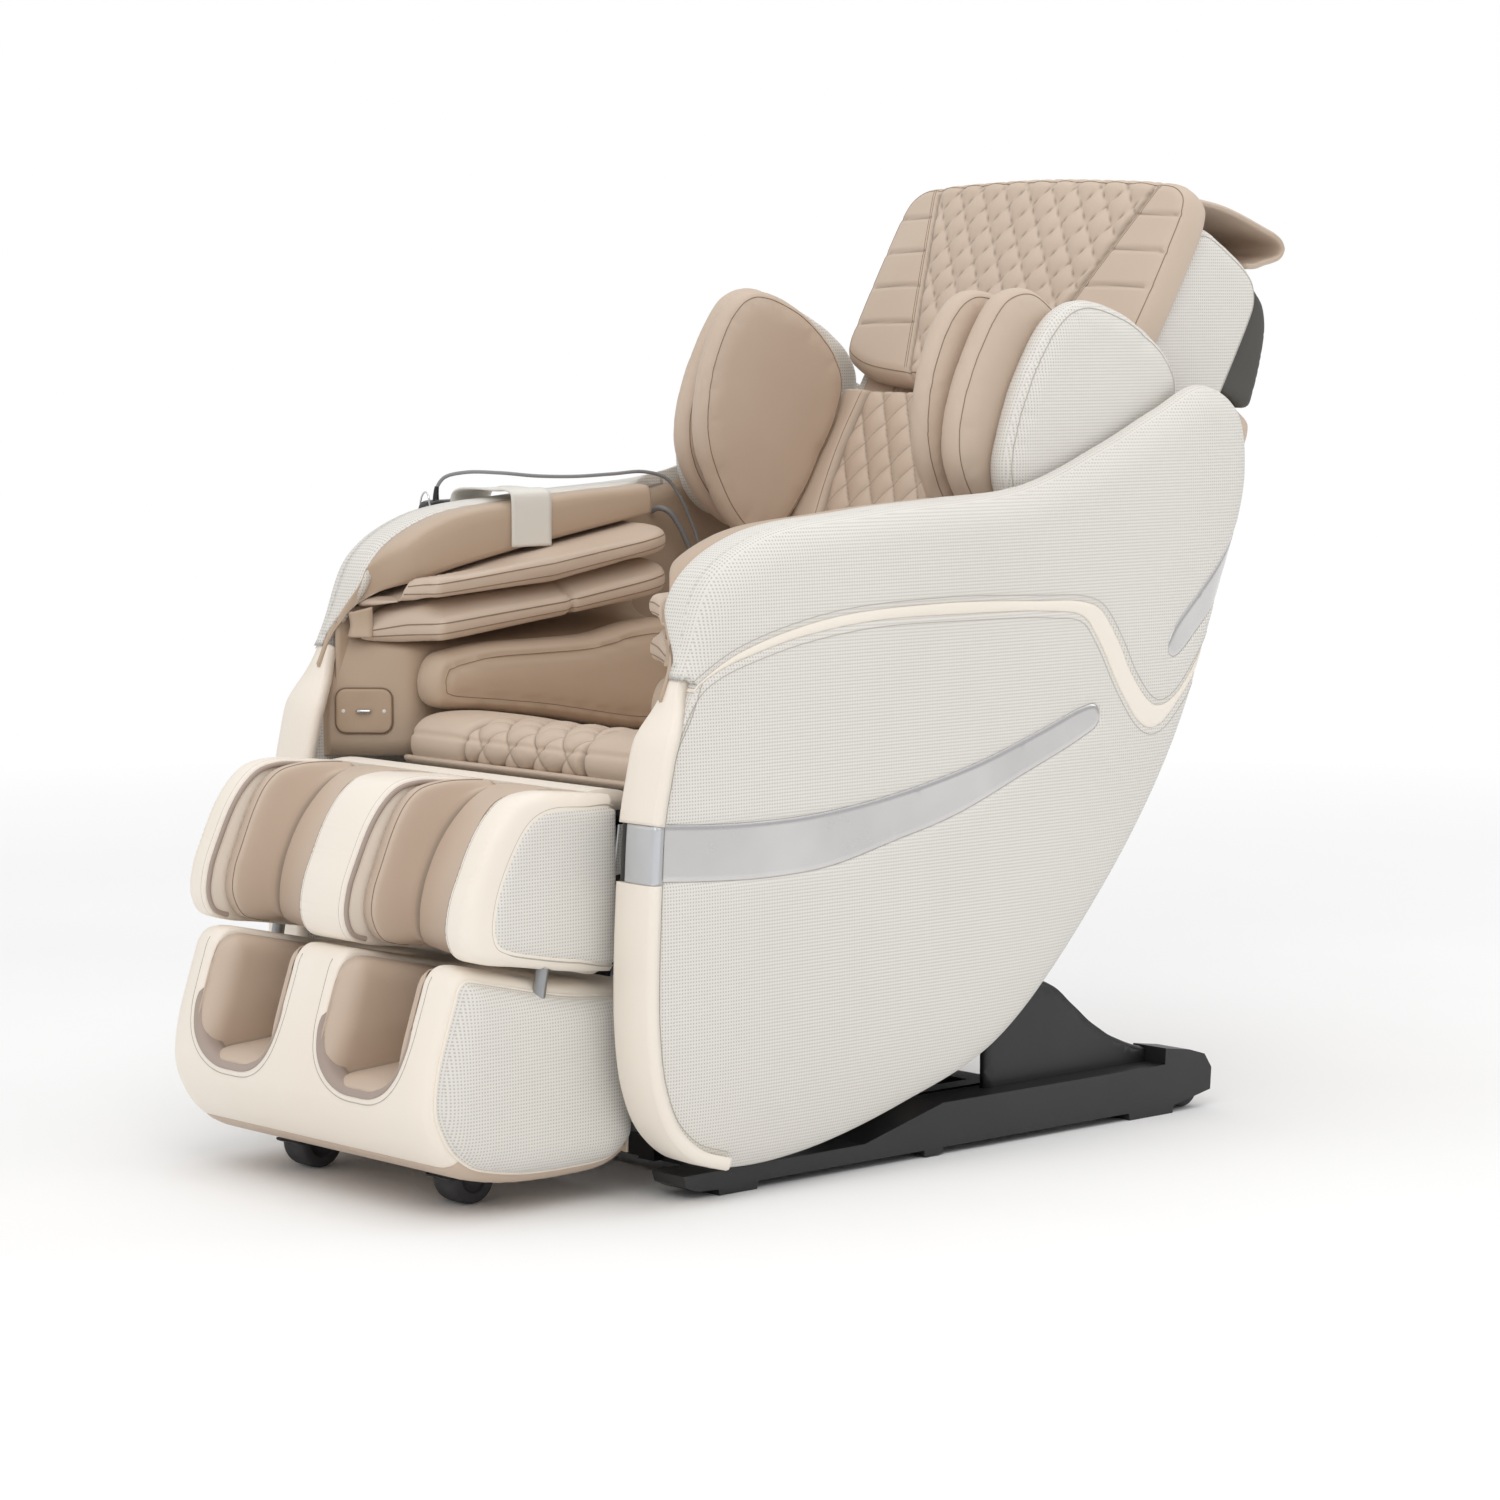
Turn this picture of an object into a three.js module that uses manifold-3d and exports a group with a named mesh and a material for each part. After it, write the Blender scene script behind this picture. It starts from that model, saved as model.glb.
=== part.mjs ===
// Massage chair: a rocking seat body with tall upholstered arms on a low black base, a
// reclining backrest with shoulder wings, and a leg rest with a telescoping foot section.
// Millimetres. +Z is up, the sitter looks along -Y, +X is the sitter's left-hand side.
// The origin is on the floor, under the centre foot of the base.
import * as THREE from 'three';
import { mergeVertices } from 'three/addons/utils/BufferGeometryUtils.js';
import Module from 'manifold-3d';

const wasm = await Module();
wasm.setup();

// ---------------------------------------------------------------- driving dimensions
const GAP = 0.4;               // clearance kept between pieces that touch
const SIDE_X = 385;            // outer face of the arms
const SHELL_X = 345;           // inner face of the outer arm shells
const CAP_X = 300;             // inner edge of the arm's top cap
const LIP_X = 260;             // inner face of the arm lip
const PAD_X = 205;             // inner face of the forearm pads and hip pads
const BAND_X = 315;            // inner edge of the front bands
const RAIL_IN = 276;           // base rail, inner face
const RAIL_OUT = 336;          // base rail, outer face
const TILT_PIVOT = [0, 300];   // y, z of the rocking axis
const RECLINE_PIVOT = [110, 470];
const LEG_PIVOT = [-432, 482];
const BACK_FOOT = [85, 500];   // y, z where the backrest frame starts
const BACK_ANGLE = 31;         // degrees, backrest from vertical
const WHEEL_R = 28;            // rear transport wheels
const CASTER_R = 33;           // foot section casters
const SHAFT_R = 12;
const PIN_R = 8;
const EAR = 6;                 // thickness of bracket ears
const ROUND_SIDES = 14;

const degrees = THREE.MathUtils.degToRad;

// ---------------------------------------------------------------- materials
const material = (color, roughness, metalness = 0) =>
  new THREE.MeshStandardMaterial({ color, roughness, metalness });
const PERFORATED = material(0xdedad2, 0.7);
const IVORY = material(0xf3eae0, 0.5);
const TAN = material(0xb79f89, 0.55);
const SILVER = material(0xcdcbcb, 0.25, 0.9);
const BLACK = material(0x28282a, 0.4);
const CHARCOAL = material(0x4b4946, 0.6);
const STEEL = material(0x8c8f92, 0.4, 0.8);
const RUBBER = material(0x3c3c3e, 0.8);
const CORD = material(0x8a8a8a, 0.6);

// ---------------------------------------------------------------- geometry helpers
const SIDE_VIEW = new THREE.Matrix4().makeBasis(
  new THREE.Vector3(0, 1, 0), new THREE.Vector3(0, 0, 1), new THREE.Vector3(1, 0, 0));
const FRONT_VIEW = new THREE.Matrix4().makeBasis(
  new THREE.Vector3(1, 0, 0), new THREE.Vector3(0, 0, 1), new THREE.Vector3(0, -1, 0));

function closed(geometry) {
  geometry.deleteAttribute('normal');
  geometry.deleteAttribute('uv');
  return mergeVertices(geometry, 1e-3);
}

function toSolid(geometry) {
  const merged = closed(geometry.clone());
  return new wasm.Manifold(new wasm.Mesh({
    numProp: 3,
    vertProperties: Float32Array.from(merged.attributes.position.array),
    triVerts: Uint32Array.from(merged.index.array),
  }));
}

function toGeometry(solid) {
  const mesh = solid.getMesh();
  const geometry = new THREE.BufferGeometry();
  geometry.setAttribute('position', new THREE.BufferAttribute(mesh.vertProperties, 3));
  geometry.setIndex(new THREE.BufferAttribute(mesh.triVerts, 1));
  return geometry;
}

const join = (...parts) => toGeometry(parts.map(toSolid).reduce((a, b) => a.add(b)));
const cut = (part, ...tools) =>
  toGeometry(tools.map(toSolid).reduce((a, b) => a.subtract(b), toSolid(part)));
const common = (a, b) => toGeometry(toSolid(a).intersect(toSolid(b)));

// Closed smooth outline through the given points.
function smooth(points, samples) {
  const vectors = points.map(([a, b]) => new THREE.Vector3(a, b, 0));
  const curve = new THREE.CatmullRomCurve3(vectors, true, 'centripetal');
  return curve.getPoints(samples).slice(0, -1).map((p) => [p.x, p.y]);
}

function extruded(outline, low, high, round, view) {
  const shape = new THREE.Shape(outline.map(([a, b]) => new THREE.Vector2(a, b)));
  const geometry = new THREE.ExtrudeGeometry(shape, {
    depth: high - low - 2 * round, steps: 1, bevelEnabled: round > 0, bevelThickness: round,
    bevelSize: round, bevelOffset: -round, bevelSegments: 2,
  });
  geometry.translate(0, 0, low + round);
  return geometry.applyMatrix4(view);
}

// An outline in the side view (y, z), given a width along x.
const slab = (outline, low, high, round = 0) => extruded(outline, low, high, round, SIDE_VIEW);
// An outline in the front view (x, z), given a depth from y = -low to y = -high.
const plate = (outline, low, high, round = 0) => extruded(outline, low, high, round, FRONT_VIEW);

function box(x, y, z) {
  const geometry = new THREE.BoxGeometry(x[1] - x[0], y[1] - y[0], z[1] - z[0]);
  return geometry.translate((x[0] + x[1]) / 2, (y[0] + y[1]) / 2, (z[0] + z[1]) / 2);
}

// A cylinder along x at (y, z).
function rod(radius, xLow, xHigh, y, z, sides = ROUND_SIDES) {
  const geometry = new THREE.CylinderGeometry(radius, radius, xHigh - xLow, sides);
  return geometry.rotateZ(Math.PI / 2).translate((xLow + xHigh) / 2, y, z);
}

// A copy reflected in the plane x = 0.
function mirrored(geometry) {
  const copy = closed(geometry.clone()).applyMatrix4(new THREE.Matrix4().makeScale(-1, 1, 1));
  const index = copy.index.array;
  for (let i = 0; i < index.length; i += 3) {
    [index[i], index[i + 1]] = [index[i + 1], index[i]];
  }
  return copy;
}

function named(group, name, geometry, look) {
  const mesh = new THREE.Mesh(closed(geometry), look);
  mesh.name = name;
  group.add(mesh);
  return mesh;
}

// The same piece on both sides: the geometry given is the one at +X.
function pair(group, name, geometry, look) {
  named(group, `${name}_right`, mirrored(geometry), look);
  named(group, `${name}_left`, geometry, look);
}

const both = (geometry) => [geometry, mirrored(geometry)];

// ---------------------------------------------------------------- base
function baseRail() {
  const outline = [
    [-435, 31], [-430, 17], [-414, 10], [-378, 8], [-376, 0], [-314, 0], [-312, 10], [-24, 10],
    [-23, 2], [8, 2], [9, 10], [360, 10], [362, 0], [446, 0], [448, 10], [522, 24], [524, 54],
    [510, 74], [480, 83], [432, 90], [431, 68], [10, 68], [-130, 32],
  ];
  const wheelSlot = box([292, 322], [452, 530], [-5, 64]);
  return cut(slab(outline, RAIL_IN, RAIL_OUT), wheelSlot);
}

function wheel(x, radius, width, y, z) {
  const profile = [
    [0, -width / 2], [radius - 4, -width / 2], [radius, -width / 2 + 4],
    [radius, width / 2 - 4], [radius - 4, width / 2], [0, width / 2],
  ].map(([r, h]) => new THREE.Vector2(r, h));
  return new THREE.LatheGeometry(profile, 18).rotateZ(Math.PI / 2).translate(x, y, z);
}

// Two ears with a pin hole, either side of x, on a foot plate.
function ears(x, spread, y, z, radius, low, high, depth) {
  const ear = (at) => cut(box([at, at + EAR], [y - depth, y + depth], [low, high]),
    rod(radius, at - 2, at + EAR + 2, y, z));
  return [ear(x - spread - EAR), ear(x + spread)];
}

const MOTOR_SPREAD = 24;
const ROD_START = 100;         // how deep the rods reach into their barrels
const TILT_MOTOR = { x: -70, from: [-250, 60], to: [-200, 425], barrel: 250 };
const LEG_MOTOR = { x: 70, from: [-60, 365], to: [-480, 330], barrel: 250 };
const RECLINE_MOTOR = { x: 0, from: [-150, 395], to: [234, 457], barrel: 250 };

function baseFrame() {
  const long = (x) => box([x - 15, x + 15], [-340, 300], [14, 44]);
  const tower = cut(
    box([150, 162], [-60, 60], [30, 325]), rod(SHAFT_R + 0.6, 140, 170, ...TILT_PIVOT));
  const [y, z] = TILT_MOTOR.from;
  return join(
    box([-RAIL_IN + GAP, RAIL_IN - GAP], [-330, -290], [14, 44]),
    box([-RAIL_IN + GAP, RAIL_IN - GAP], [250, 290], [14, 44]),
    box([-RAIL_IN + GAP, RAIL_IN - GAP], [-25, 25], [14, 44]),
    box([-40, 40], [-20, 20], [0, 20]),
    ...both(long(156)), ...both(tower),
    box([-120, -20], [-320, -225], [14, 24]),
    ...ears(TILT_MOTOR.x, MOTOR_SPREAD, y, z, 6.8, 16, 76, 16));
}

function baseCover() {
  const outer = [
    [429, 90], [400, 97], [360, 114], [321, 138], [282, 169], [255, 190], [225, 202],
    [120, 206], [120, 69], [429, 69],
  ];
  const inner = [
    [395, 92], [357, 108], [317, 132], [278, 163], [251, 184], [223, 195], [100, 199],
    [100, 60], [395, 60],
  ];
  return cut(slab(outer, -300, 300), slab(inner, -293, 293));
}

function addBase(group) {
  pair(group, 'base_rail', baseRail(), BLACK);
  named(group, 'base_frame', baseFrame(), STEEL);
  named(group, 'base_cover', baseCover(), BLACK);
  pair(group, 'rear_wheel', wheel(307, WHEEL_R, 24, 488, WHEEL_R + 1), RUBBER);
}

// ---------------------------------------------------------------- linear motors
// A barrel with a long bore that pivots at its foot, and a rod that slides out of it.
function addMotor(group, name, { x, from, to, barrel }) {
  const length = Math.hypot(to[0] - from[0], to[1] - from[1]);
  const angle = Math.atan2(to[1] - from[1], to[0] - from[0]);
  const place = (geometry) => geometry.rotateX(angle).translate(x, ...from);
  const tube = new THREE.LatheGeometry([
    [0, -20], [22, -20], [22, barrel], [11.5, barrel], [11.5, 30], [0, 30],
  ].map(([r, h]) => new THREE.Vector2(r, h)), ROUND_SIDES);
  const gearbox = box([-22, 22], [-26, 60], [-48, 0]);
  const pin = rod(6, -MOTOR_SPREAD - EAR, MOTOR_SPREAD + EAR, 0, 0);
  const eye = rod(12, -10, 10, length, 0);
  const shaft = new THREE.CylinderGeometry(10, 10, length - ROD_START, ROUND_SIDES);
  shaft.translate(0, (length + ROD_START) / 2, 0);
  named(group, `${name}_motor`, place(join(tube, gearbox, pin)), BLACK);
  named(group, `${name}_rod`, place(join(shaft, eye)), STEEL);
}

// ---------------------------------------------------------------- seat
// The far ear of an open pivot: a plate beside the rod's eye.
function sideEar(x, [y, z], low, high) {
  return box([x + 11.5, x + 11.5 + EAR], [y - 12, y + 12], [low, high]);
}

function seatFrame() {
  const pan = box([-240, 240], [-392, 72], [455, 473]);
  const rearArm = box([200, 240], [60, 130], [440, 468]);
  const tiltEar = box([168, 180], [-45, 45], [270, 460]);
  const outrigger = (y) => box([230, SHELL_X - GAP], [y - 18, y + 18], [455, 468]);
  const backEar = box([239, 248], [88, 130], [440, 483]);
  const legEar = box([239, 247], [-441, -370], [440, 491]);
  return join(pan, ...both(rearArm), ...both(outrigger(-250)), ...both(outrigger(50)),
    ...both(tiltEar), ...both(backEar), ...both(legEar),
    ...both(rod(9, 246, 264, ...RECLINE_PIVOT)), ...both(rod(PIN_R, 243, 259, ...LEG_PIVOT)),
    rod(SHAFT_R, -184, 184, ...TILT_PIVOT),
    sideEar(TILT_MOTOR.x, TILT_MOTOR.to, 411, 460),
    ...ears(LEG_MOTOR.x, MOTOR_SPREAD, ...LEG_MOTOR.from, 6.8, 351, 460, 14),
    ...ears(RECLINE_MOTOR.x, MOTOR_SPREAD, ...RECLINE_MOTOR.from, 6.8, 381, 460, 14));
}

const SEAT_OUTLINE = [
  [-378, 475], [-406, 506], [-405, 530], [-386, 546], [-330, 552], [-200, 528], [-40, 502],
  [78, 490], [78, 475],
];

// Side view of an arm, clockwise from the front bottom corner.
const ARM_OUTLINE = smooth([
  [-457, 60], [-380, 38], [-256, 42], [-82, 81], [86, 143], [273, 314], [411, 500],
  [498, 697], [552, 857], [535, 950], [470, 982], [382, 950], [277, 906], [130, 857],
  [-138, 834], [-330, 810], [-419, 758], [-458, 665], [-501, 569], [-526, 405],
  [-531, 250], [-515, 130],
], 52);

const BAND_TOP = [
  [-560, 560], [-473, 612], [-440, 640], [-379, 673], [-238, 706], [-42, 716], [130, 711],
  [215, 706], [246, 695], [280, 653], [309, 604], [343, 569], [365, 562], [401, 574], [520, 700],
];
const BAND_BOTTOM = [
  [-560, 470], [-513, 511], [-488, 568], [-450, 629], [-413, 652], [-350, 672], [-280, 687],
  [-162, 700], [-1, 701], [150, 697], [215, 687], [244, 655], [286, 587], [320, 546],
  [343, 534], [368, 537], [420, 575], [540, 690],
];
const SWORD = [
  [-560, 480], [-523, 475], [-409, 467], [-271, 467], [-126, 482], [22, 511], [137, 545],
  [215, 570], [238, 572], [247, 561], [243, 545], [215, 530], [99, 487], [-15, 447],
  [-126, 422], [-236, 400], [-341, 395], [-443, 399], [-523, 404], [-560, 404],
];
const STRIP = 16;              // depth of the front band
const TRIM_DEPTH = 6;          // how deep the silver trim is let in

const armBody = () => slab(ARM_OUTLINE, SHELL_X, SIDE_X, 18);
const above = (line, top) => [...line, [700, line.at(-1)[1]], [700, top], [-700, top],
  [-700, line[0][1]]];
const under = (line) => [...line, [700, line.at(-1)[1]], [700, -50], [-700, -50],
  [-700, line[0][1]]];
const shifted = (line, dy, dz) => line.map(([y, z]) => [y + dy, z + dz]);

// The front edge of an arm from z = 44 up to the accent band, as a strip STRIP deep.
const FRONT_EDGE = [
  [-403, 41], [-457, 60], [-497, 96], [-521, 150], [-531, 218], [-532, 293], [-527, 405],
  [-522, 475], [-512, 524], [-500, 569], [-473, 612],
];
const stripOutline = (grow) => [
  ...shifted(FRONT_EDGE, -30, -30), [-560, 640], [-440, 640],
  ...FRONT_EDGE.map(([y, z]) => [y + STRIP + grow, Math.max(z, 60)]).reverse(),
];

function accentBand() {
  const region = [...BAND_TOP, ...[...BAND_BOTTOM].reverse()];
  const run = common(armBody(), slab(region, SHELL_X - 5, SIDE_X + 5));
  const strip = common(slab(ARM_OUTLINE, BAND_X, SIDE_X, 12), slab(stripOutline(0), 300, 400));
  const notch = box([331 - GAP, 400], [-560, -480], [398, 476]);
  const clearOfRail = box([300, SHELL_X], [-560, -300], [0, 50]);
  return cut(join(run, cut(strip, slab(above(BAND_TOP, 900), 300, 400))), notch, clearOfRail);
}

function sidePanel() {
  const low = shifted(BAND_BOTTOM, 0, -GAP);
  return cut(common(armBody(), slab(under(low), SHELL_X, SIDE_X)),
    slab(stripOutline(GAP), 300, 400),
    slab(SWORD, SIDE_X - TRIM_DEPTH, SIDE_X + 5),
    box([300, 400], [-560, -506], [395, 480]));
}

function silverTrim() {
  const blade = slab(shrunk(SWORD, GAP), SIDE_X - TRIM_DEPTH + GAP, SIDE_X + 5);
  const body = slab(ARM_OUTLINE, SHELL_X - 20, SIDE_X, 4);
  const tab = box([331, SIDE_X + 5], [-560, -507], [402, 472]);
  return cut(common(body, join(blade, tab)), box([300, SIDE_X - 30], [-500, 400], [300, 600]));
}

// An outline drawn in towards its own centre line by a small amount.
function shrunk(outline, by) {
  return outline.map(([y, z], i) => {
    const [py, pz] = outline[(i + outline.length - 1) % outline.length];
    const [ny, nz] = outline[(i + 1) % outline.length];
    const length = Math.hypot(ny - py, nz - pz);
    return [y + ((nz - pz) / length) * by, z - ((ny - py) / length) * by];
  });
}

const CAP = 22;                // thickness of the cap over the arm
const CAP_END = 34;            // y where the cap and the lip end
function armPanel() {
  const high = shifted(BAND_TOP, 0, GAP);
  const whole = slab(ARM_OUTLINE, CAP_X, SIDE_X, 18);
  const pocket = common(slab(shifted(ARM_OUTLINE, 0, -CAP), CAP_X - 5, SHELL_X),
    box([0, 500], [-450, CAP_END], [0, 1000]));
  return cut(common(whole, slab(above(high, 1100), CAP_X - 5, SIDE_X + 5)), pocket,
    box([CAP_X - 5, SHELL_X], [CAP_END, 700], [0, 1100]),
    box([CAP_X - 5, SHELL_X], [-700, -415], [0, 1100]),
    box([CAP_X - 5, SHELL_X], [-700, CAP_END], [0, 700]),
    slab(stripOutline(GAP), 300, 400));
}

// Lower edge of the arm lip, and the front of the arm's inside.
const LIP_BOTTOM = [[-446, 690], [-336, 734], [-200, 762], [34, 802]];
function armLiner(...pockets) {
  const top = ARM_OUTLINE.filter(([y, z]) => z > 700 && y < CAP_END).map(([y, z]) => [y, z - 3]);
  const sorted = top.sort((a, b) => a[0] - b[0]).filter(([y]) => y > -432);
  const lipOutline = [...sorted, [CAP_END, sorted.at(-1)[1]], ...[...LIP_BOTTOM].reverse()];
  const lip = slab(lipOutline, LIP_X, CAP_X - GAP);
  const under = common(slab(lipOutline, CAP_X - 5, SHELL_X - GAP),
    slab(shifted(ARM_OUTLINE, 0, -CAP - GAP), CAP_X - 5, SHELL_X + 5));
  const wall = common(slab(shifted(ARM_OUTLINE, 0, -CAP - GAP), 326, SHELL_X - GAP),
    box([300, 400], [-474, 60], [498, 1000]));
  const rearWall = common(slab(shifted(ARM_OUTLINE, -14, -10), 338, SHELL_X - GAP),
    box([300, 400], [40, 470], [470, 960]));
  const block = box([LIP_X, SHELL_X - GAP], [-474, 60], [498, 640]);
  const chamfer = plateFromTop([[200, -460], [200, -382], [260, -382], [352, -474],
    [352, -520], [200, -520]], 400, 1000);
  return cut(join(cut(block, chamfer), cut(join(lip, under, wall), chamfer), rearWall),
    slab(stripOutline(GAP), 300, 400), ...pockets);
}

// An outline in the plan view (x, y), from z = low to z = high.
function plateFromTop(outline, low, high) {
  const shape = new THREE.Shape(outline.map(([x, y]) => new THREE.Vector2(x, y)));
  const geometry = new THREE.ExtrudeGeometry(shape, { depth: high - low, bevelEnabled: false });
  return geometry.translate(0, 0, low);
}

const UPPER_PAD = [
  [-436, 716], [-390, 733], [-180, 756], [30, 786], [46, 776], [34, 757], [-181, 719],
  [-390, 705],
];
function upperPad() {
  const besideLip = [...shifted(LIP_BOTTOM, 0, -1), [34, 900], [-446, 900]];
  return cut(slab(UPPER_PAD, PAD_X, 322, 8), slab(besideLip, LIP_X - 1, 330));
}

const LOWER_PAD = [
  [-436, 662], [-400, 681], [-163, 701], [36, 734], [48, 718], [38, 702], [-164, 674],
  [-400, 649], [-428, 648],
];
const HIP_PAD = [
  [-388, 590], [-372, 630], [-284, 647], [-111, 650], [-40, 662], [44, 656], [50, 560],
  [40, 508], [-41, 511], [-199, 538], [-360, 560], [-386, 566],
];

// ---------------------------------------------------------------- arm fittings
const POD = { x: 306, y: -428, z: 557, width: 76, height: 60 };
function podPlate(grow, low, high) {
  const w = POD.width / 2 + grow;
  const h = POD.height / 2 + grow;
  const r = 14;
  const corner = (cx, cz, start) => [0, 30, 60, 90].map((a) => {
    const t = degrees(start + a);
    return [cx + r * Math.cos(t), cz + r * Math.sin(t)];
  });
  const outline = [
    ...corner(w - r, h - r, 0), ...corner(-w + r, h - r, 90),
    ...corner(-w + r, -h + r, 180), ...corner(w - r, -h + r, 270),
  ];
  return plate(outline, low, high);
}
const podTurn = (geometry) => geometry.rotateZ(degrees(-45)).translate(POD.x, POD.y, POD.z);
const podPocket = () => podTurn(podPlate(GAP, -7, 20));
const podBody = () => podTurn(cut(podPlate(0, -6.5, 3), box([-14, 14], [-4, 4], [-22, 22])));
function podLever() {
  return podTurn(join(rod(2.8, -11, 11, 0.6, 0, 12), box([-2.5, 2.5], [-10, 1], [-2.5, 2.5])));
}

const STRAP_Y = [-215, -150];
function remoteHolder() {
  const [front, rear] = STRAP_Y;
  const inner = box([-258.5, -255.5], [front, rear], [766, 838]);
  const over = box([-389.6, -255.5], [front, rear], [837, 840.5]);
  const outer = box([-389.6, -386.2], [front, rear], [700, 838]);
  const pouch = cut(box([-414, -386.5], [-262, -178], [677, 792]),
    box([-411, -390], [-259, -181], [681, 802]));
  return join(inner, over, outer, pouch);
}

const REMOTE = { x: [-410.4, -390.6], y: [-258, -182], z: [682, 825] };
const remoteBody = () => slab([
  [REMOTE.y[0], REMOTE.z[0]], [REMOTE.y[1], REMOTE.z[0]], [REMOTE.y[1], REMOTE.z[1] - 12],
  [REMOTE.y[1] - 12, REMOTE.z[1]], [REMOTE.y[0] + 12, REMOTE.z[1]],
  [REMOTE.y[0], REMOTE.z[1] - 12],
], ...REMOTE.x, 3);

// Routes of the two leads beside the right-hand arm: x, y, z.
const REMOTE_CORD_D = 5;
const REMOTE_CORD = [
  [-400, -232, 825.5], [-399.4, -231.2, 840], [-393, -223, 855], [-376, -200, 862],
  [-352, -160, 861], [-335, -110, 856], [-325, -50, 854], [-316, 10, 856], [-306, 60, 858],
  [-296, 92, 848], [-290, 112, 822], [-288, 128, 792], [-288, 142, 762], [-290, 152, 728],
  [-298, 154, 694], [-314, 150, 669], [-335, 148, 661],
];
const HOSE_D = 8;
const ARM_HOSE = [
  [-334, 96, 801], [-321, 98, 806], [-308, 106, 802], [-302, 120, 782], [-302, 138, 752],
  [-304, 158, 716], [-308, 174, 684], [-318, 184, 662], [-334, 188, 652],
];
function lead(route, diameter, sides, steps) {
  const curve = new THREE.CatmullRomCurve3(route.map((p) => new THREE.Vector3(...p)));
  const ring = Array.from({ length: sides }, (_, i) => {
    const t = (i / sides) * 2 * Math.PI;
    return new THREE.Vector2((diameter / 2) * Math.cos(t), (diameter / 2) * Math.sin(t));
  });
  return new THREE.ExtrudeGeometry(new THREE.Shape(ring), { steps, extrudePath: curve });
}

function addSeatBody(group) {
  named(group, 'seat_frame', seatFrame(), STEEL);
  named(group, 'seat_cushion', slab(SEAT_OUTLINE, -238, 238, 6), TAN);
  pair(group, 'arm_panel', armPanel(), PERFORATED);
  pair(group, 'accent_band', accentBand(), IVORY);
  pair(group, 'side_panel', sidePanel(), PERFORATED);
  pair(group, 'silver_trim', silverTrim(), SILVER);
  pair(group, 'arm_pad_upper', upperPad(), TAN);
  pair(group, 'arm_pad_lower', slab(LOWER_PAD, PAD_X, 322, 7), TAN);
  pair(group, 'hip_pad', slab(HIP_PAD, PAD_X, LIP_X - 2, 10), TAN);
  named(group, 'arm_liner_left', armLiner(), TAN);
  named(group, 'arm_liner_right', mirrored(armLiner(podPocket())), TAN);
  named(group, 'control_pod', mirrored(podBody()), TAN);
  named(group, 'pod_lever', mirrored(podLever()), STEEL);
  named(group, 'remote_holder', remoteHolder(), IVORY);
  named(group, 'remote', remoteBody(), BLACK);
  named(group, 'remote_cord', lead(REMOTE_CORD, REMOTE_CORD_D, 8, 50), CORD);
  named(group, 'arm_hose', lead(ARM_HOSE, HOSE_D, 8, 16), CORD);
  addMotor(group, 'leg', LEG_MOTOR);
  addMotor(group, 'recline', RECLINE_MOTOR);
}

// ---------------------------------------------------------------- backrest
// Drawn upright: y is the depth behind the cushion's face, z the height up the back.
const BACK_TURN = new THREE.Matrix4().makeRotationX(degrees(-BACK_ANGLE));
function toBack([y, z]) {
  const a = degrees(BACK_ANGLE);
  const dy = y - BACK_FOOT[0];
  const dz = z - BACK_FOOT[1];
  return [dy * Math.cos(a) - dz * Math.sin(a), dy * Math.sin(a) + dz * Math.cos(a)];
}

function backShell() {
  const outer = [
    [40.5, 64], [40.5, 800], [48, 836], [80, 852], [164, 852], [205, 838], [219, 800],
    [219, 110], [204, 76], [180, 64],
  ];
  const cavity = [
    [30, 92], [30, 812], [60, 822], [160, 822], [190, 800], [190, 112], [176, 92],
  ];
  const [py, pz] = toBack(RECLINE_PIVOT);
  const arm = cut(box([256, 263], [py - 20, py + 50], [pz - 20, 120]),
    rod(9.8, 250, 270, py, pz));
  const end = toBack(RECLINE_MOTOR.to);
  return join(cut(slab(outer, -265, 265, 16), slab(cavity, -234, 234)), ...both(arm),
    box([11.5, 11.5 + EAR], [end[0] - 13, end[0] + 13], [end[1] - 12, 80]));
}

const BACK_COVER = [
  [219.5, 690], [299, 690], [297, 718], [286, 768], [269, 815], [246, 838], [219.5, 844],
];
const REAR_UPHOLSTERY = [
  [219.5, 118], [262, 140], [300, 230], [318, 330], [325, 450], [325, 660], [318, 686],
  [219.5, 689.4],
];

function backCushion() {
  const lower = [[2, 10], [0, 60], [0, 500], [14, 540], [40, 556], [40, 8], [10, 8]];
  const upper = [[40.5, 100], [40.5, 815], [70, 815], [70, 100]];
  return join(slab(lower, -238, 238), slab(upper, -231, 231),
    box([-231, 231], [30, 45], [110, 500]));
}

const PILLOW = smooth([
  [0, 560], [150, 568], [240, 592], [276, 622], [282, 700], [281, 800], [270, 862],
  [225, 882], [100, 887], [-100, 887], [-225, 882], [-270, 862], [-281, 800], [-282, 700],
  [-276, 622], [-240, 592], [-150, 568],
], 36);
const FLAP = [
  [46, 856], [46, 882], [92, 905], [164, 927], [227, 938], [248, 931], [250, 906],
  [214, 872], [190, 862], [142, 857],
];

const WING_SHELL = smooth([
  [-172, 381], [-186, 460], [-182, 545], [-140, 610], [-74, 634], [18, 634], [66, 612],
  [86, 560], [80, 470], [30, 360], [-60, 300], [-135, 318],
], 26);
const WING_OUTER = smooth([
  [-215, 355], [-244, 470], [-238, 552], [-190, 596], [-110, 590], [-20, 560], [-8, 470],
  [-12, 350], [-50, 290], [-130, 300],
], 24);
const WING_INNER = smooth([
  [-188, 326], [-234, 344], [-268, 455], [-262, 536], [-226, 574], [-140, 590], [-62, 572],
  [-12, 500], [-10, 360], [-40, 290], [-78, 266], [-130, 286],
], 26);

function wingShell() {
  const bracket = box([265.5, 290], [62, 86], [400, 520]);
  return join(slab(WING_SHELL, 286, 333, 14), bracket);
}

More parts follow.
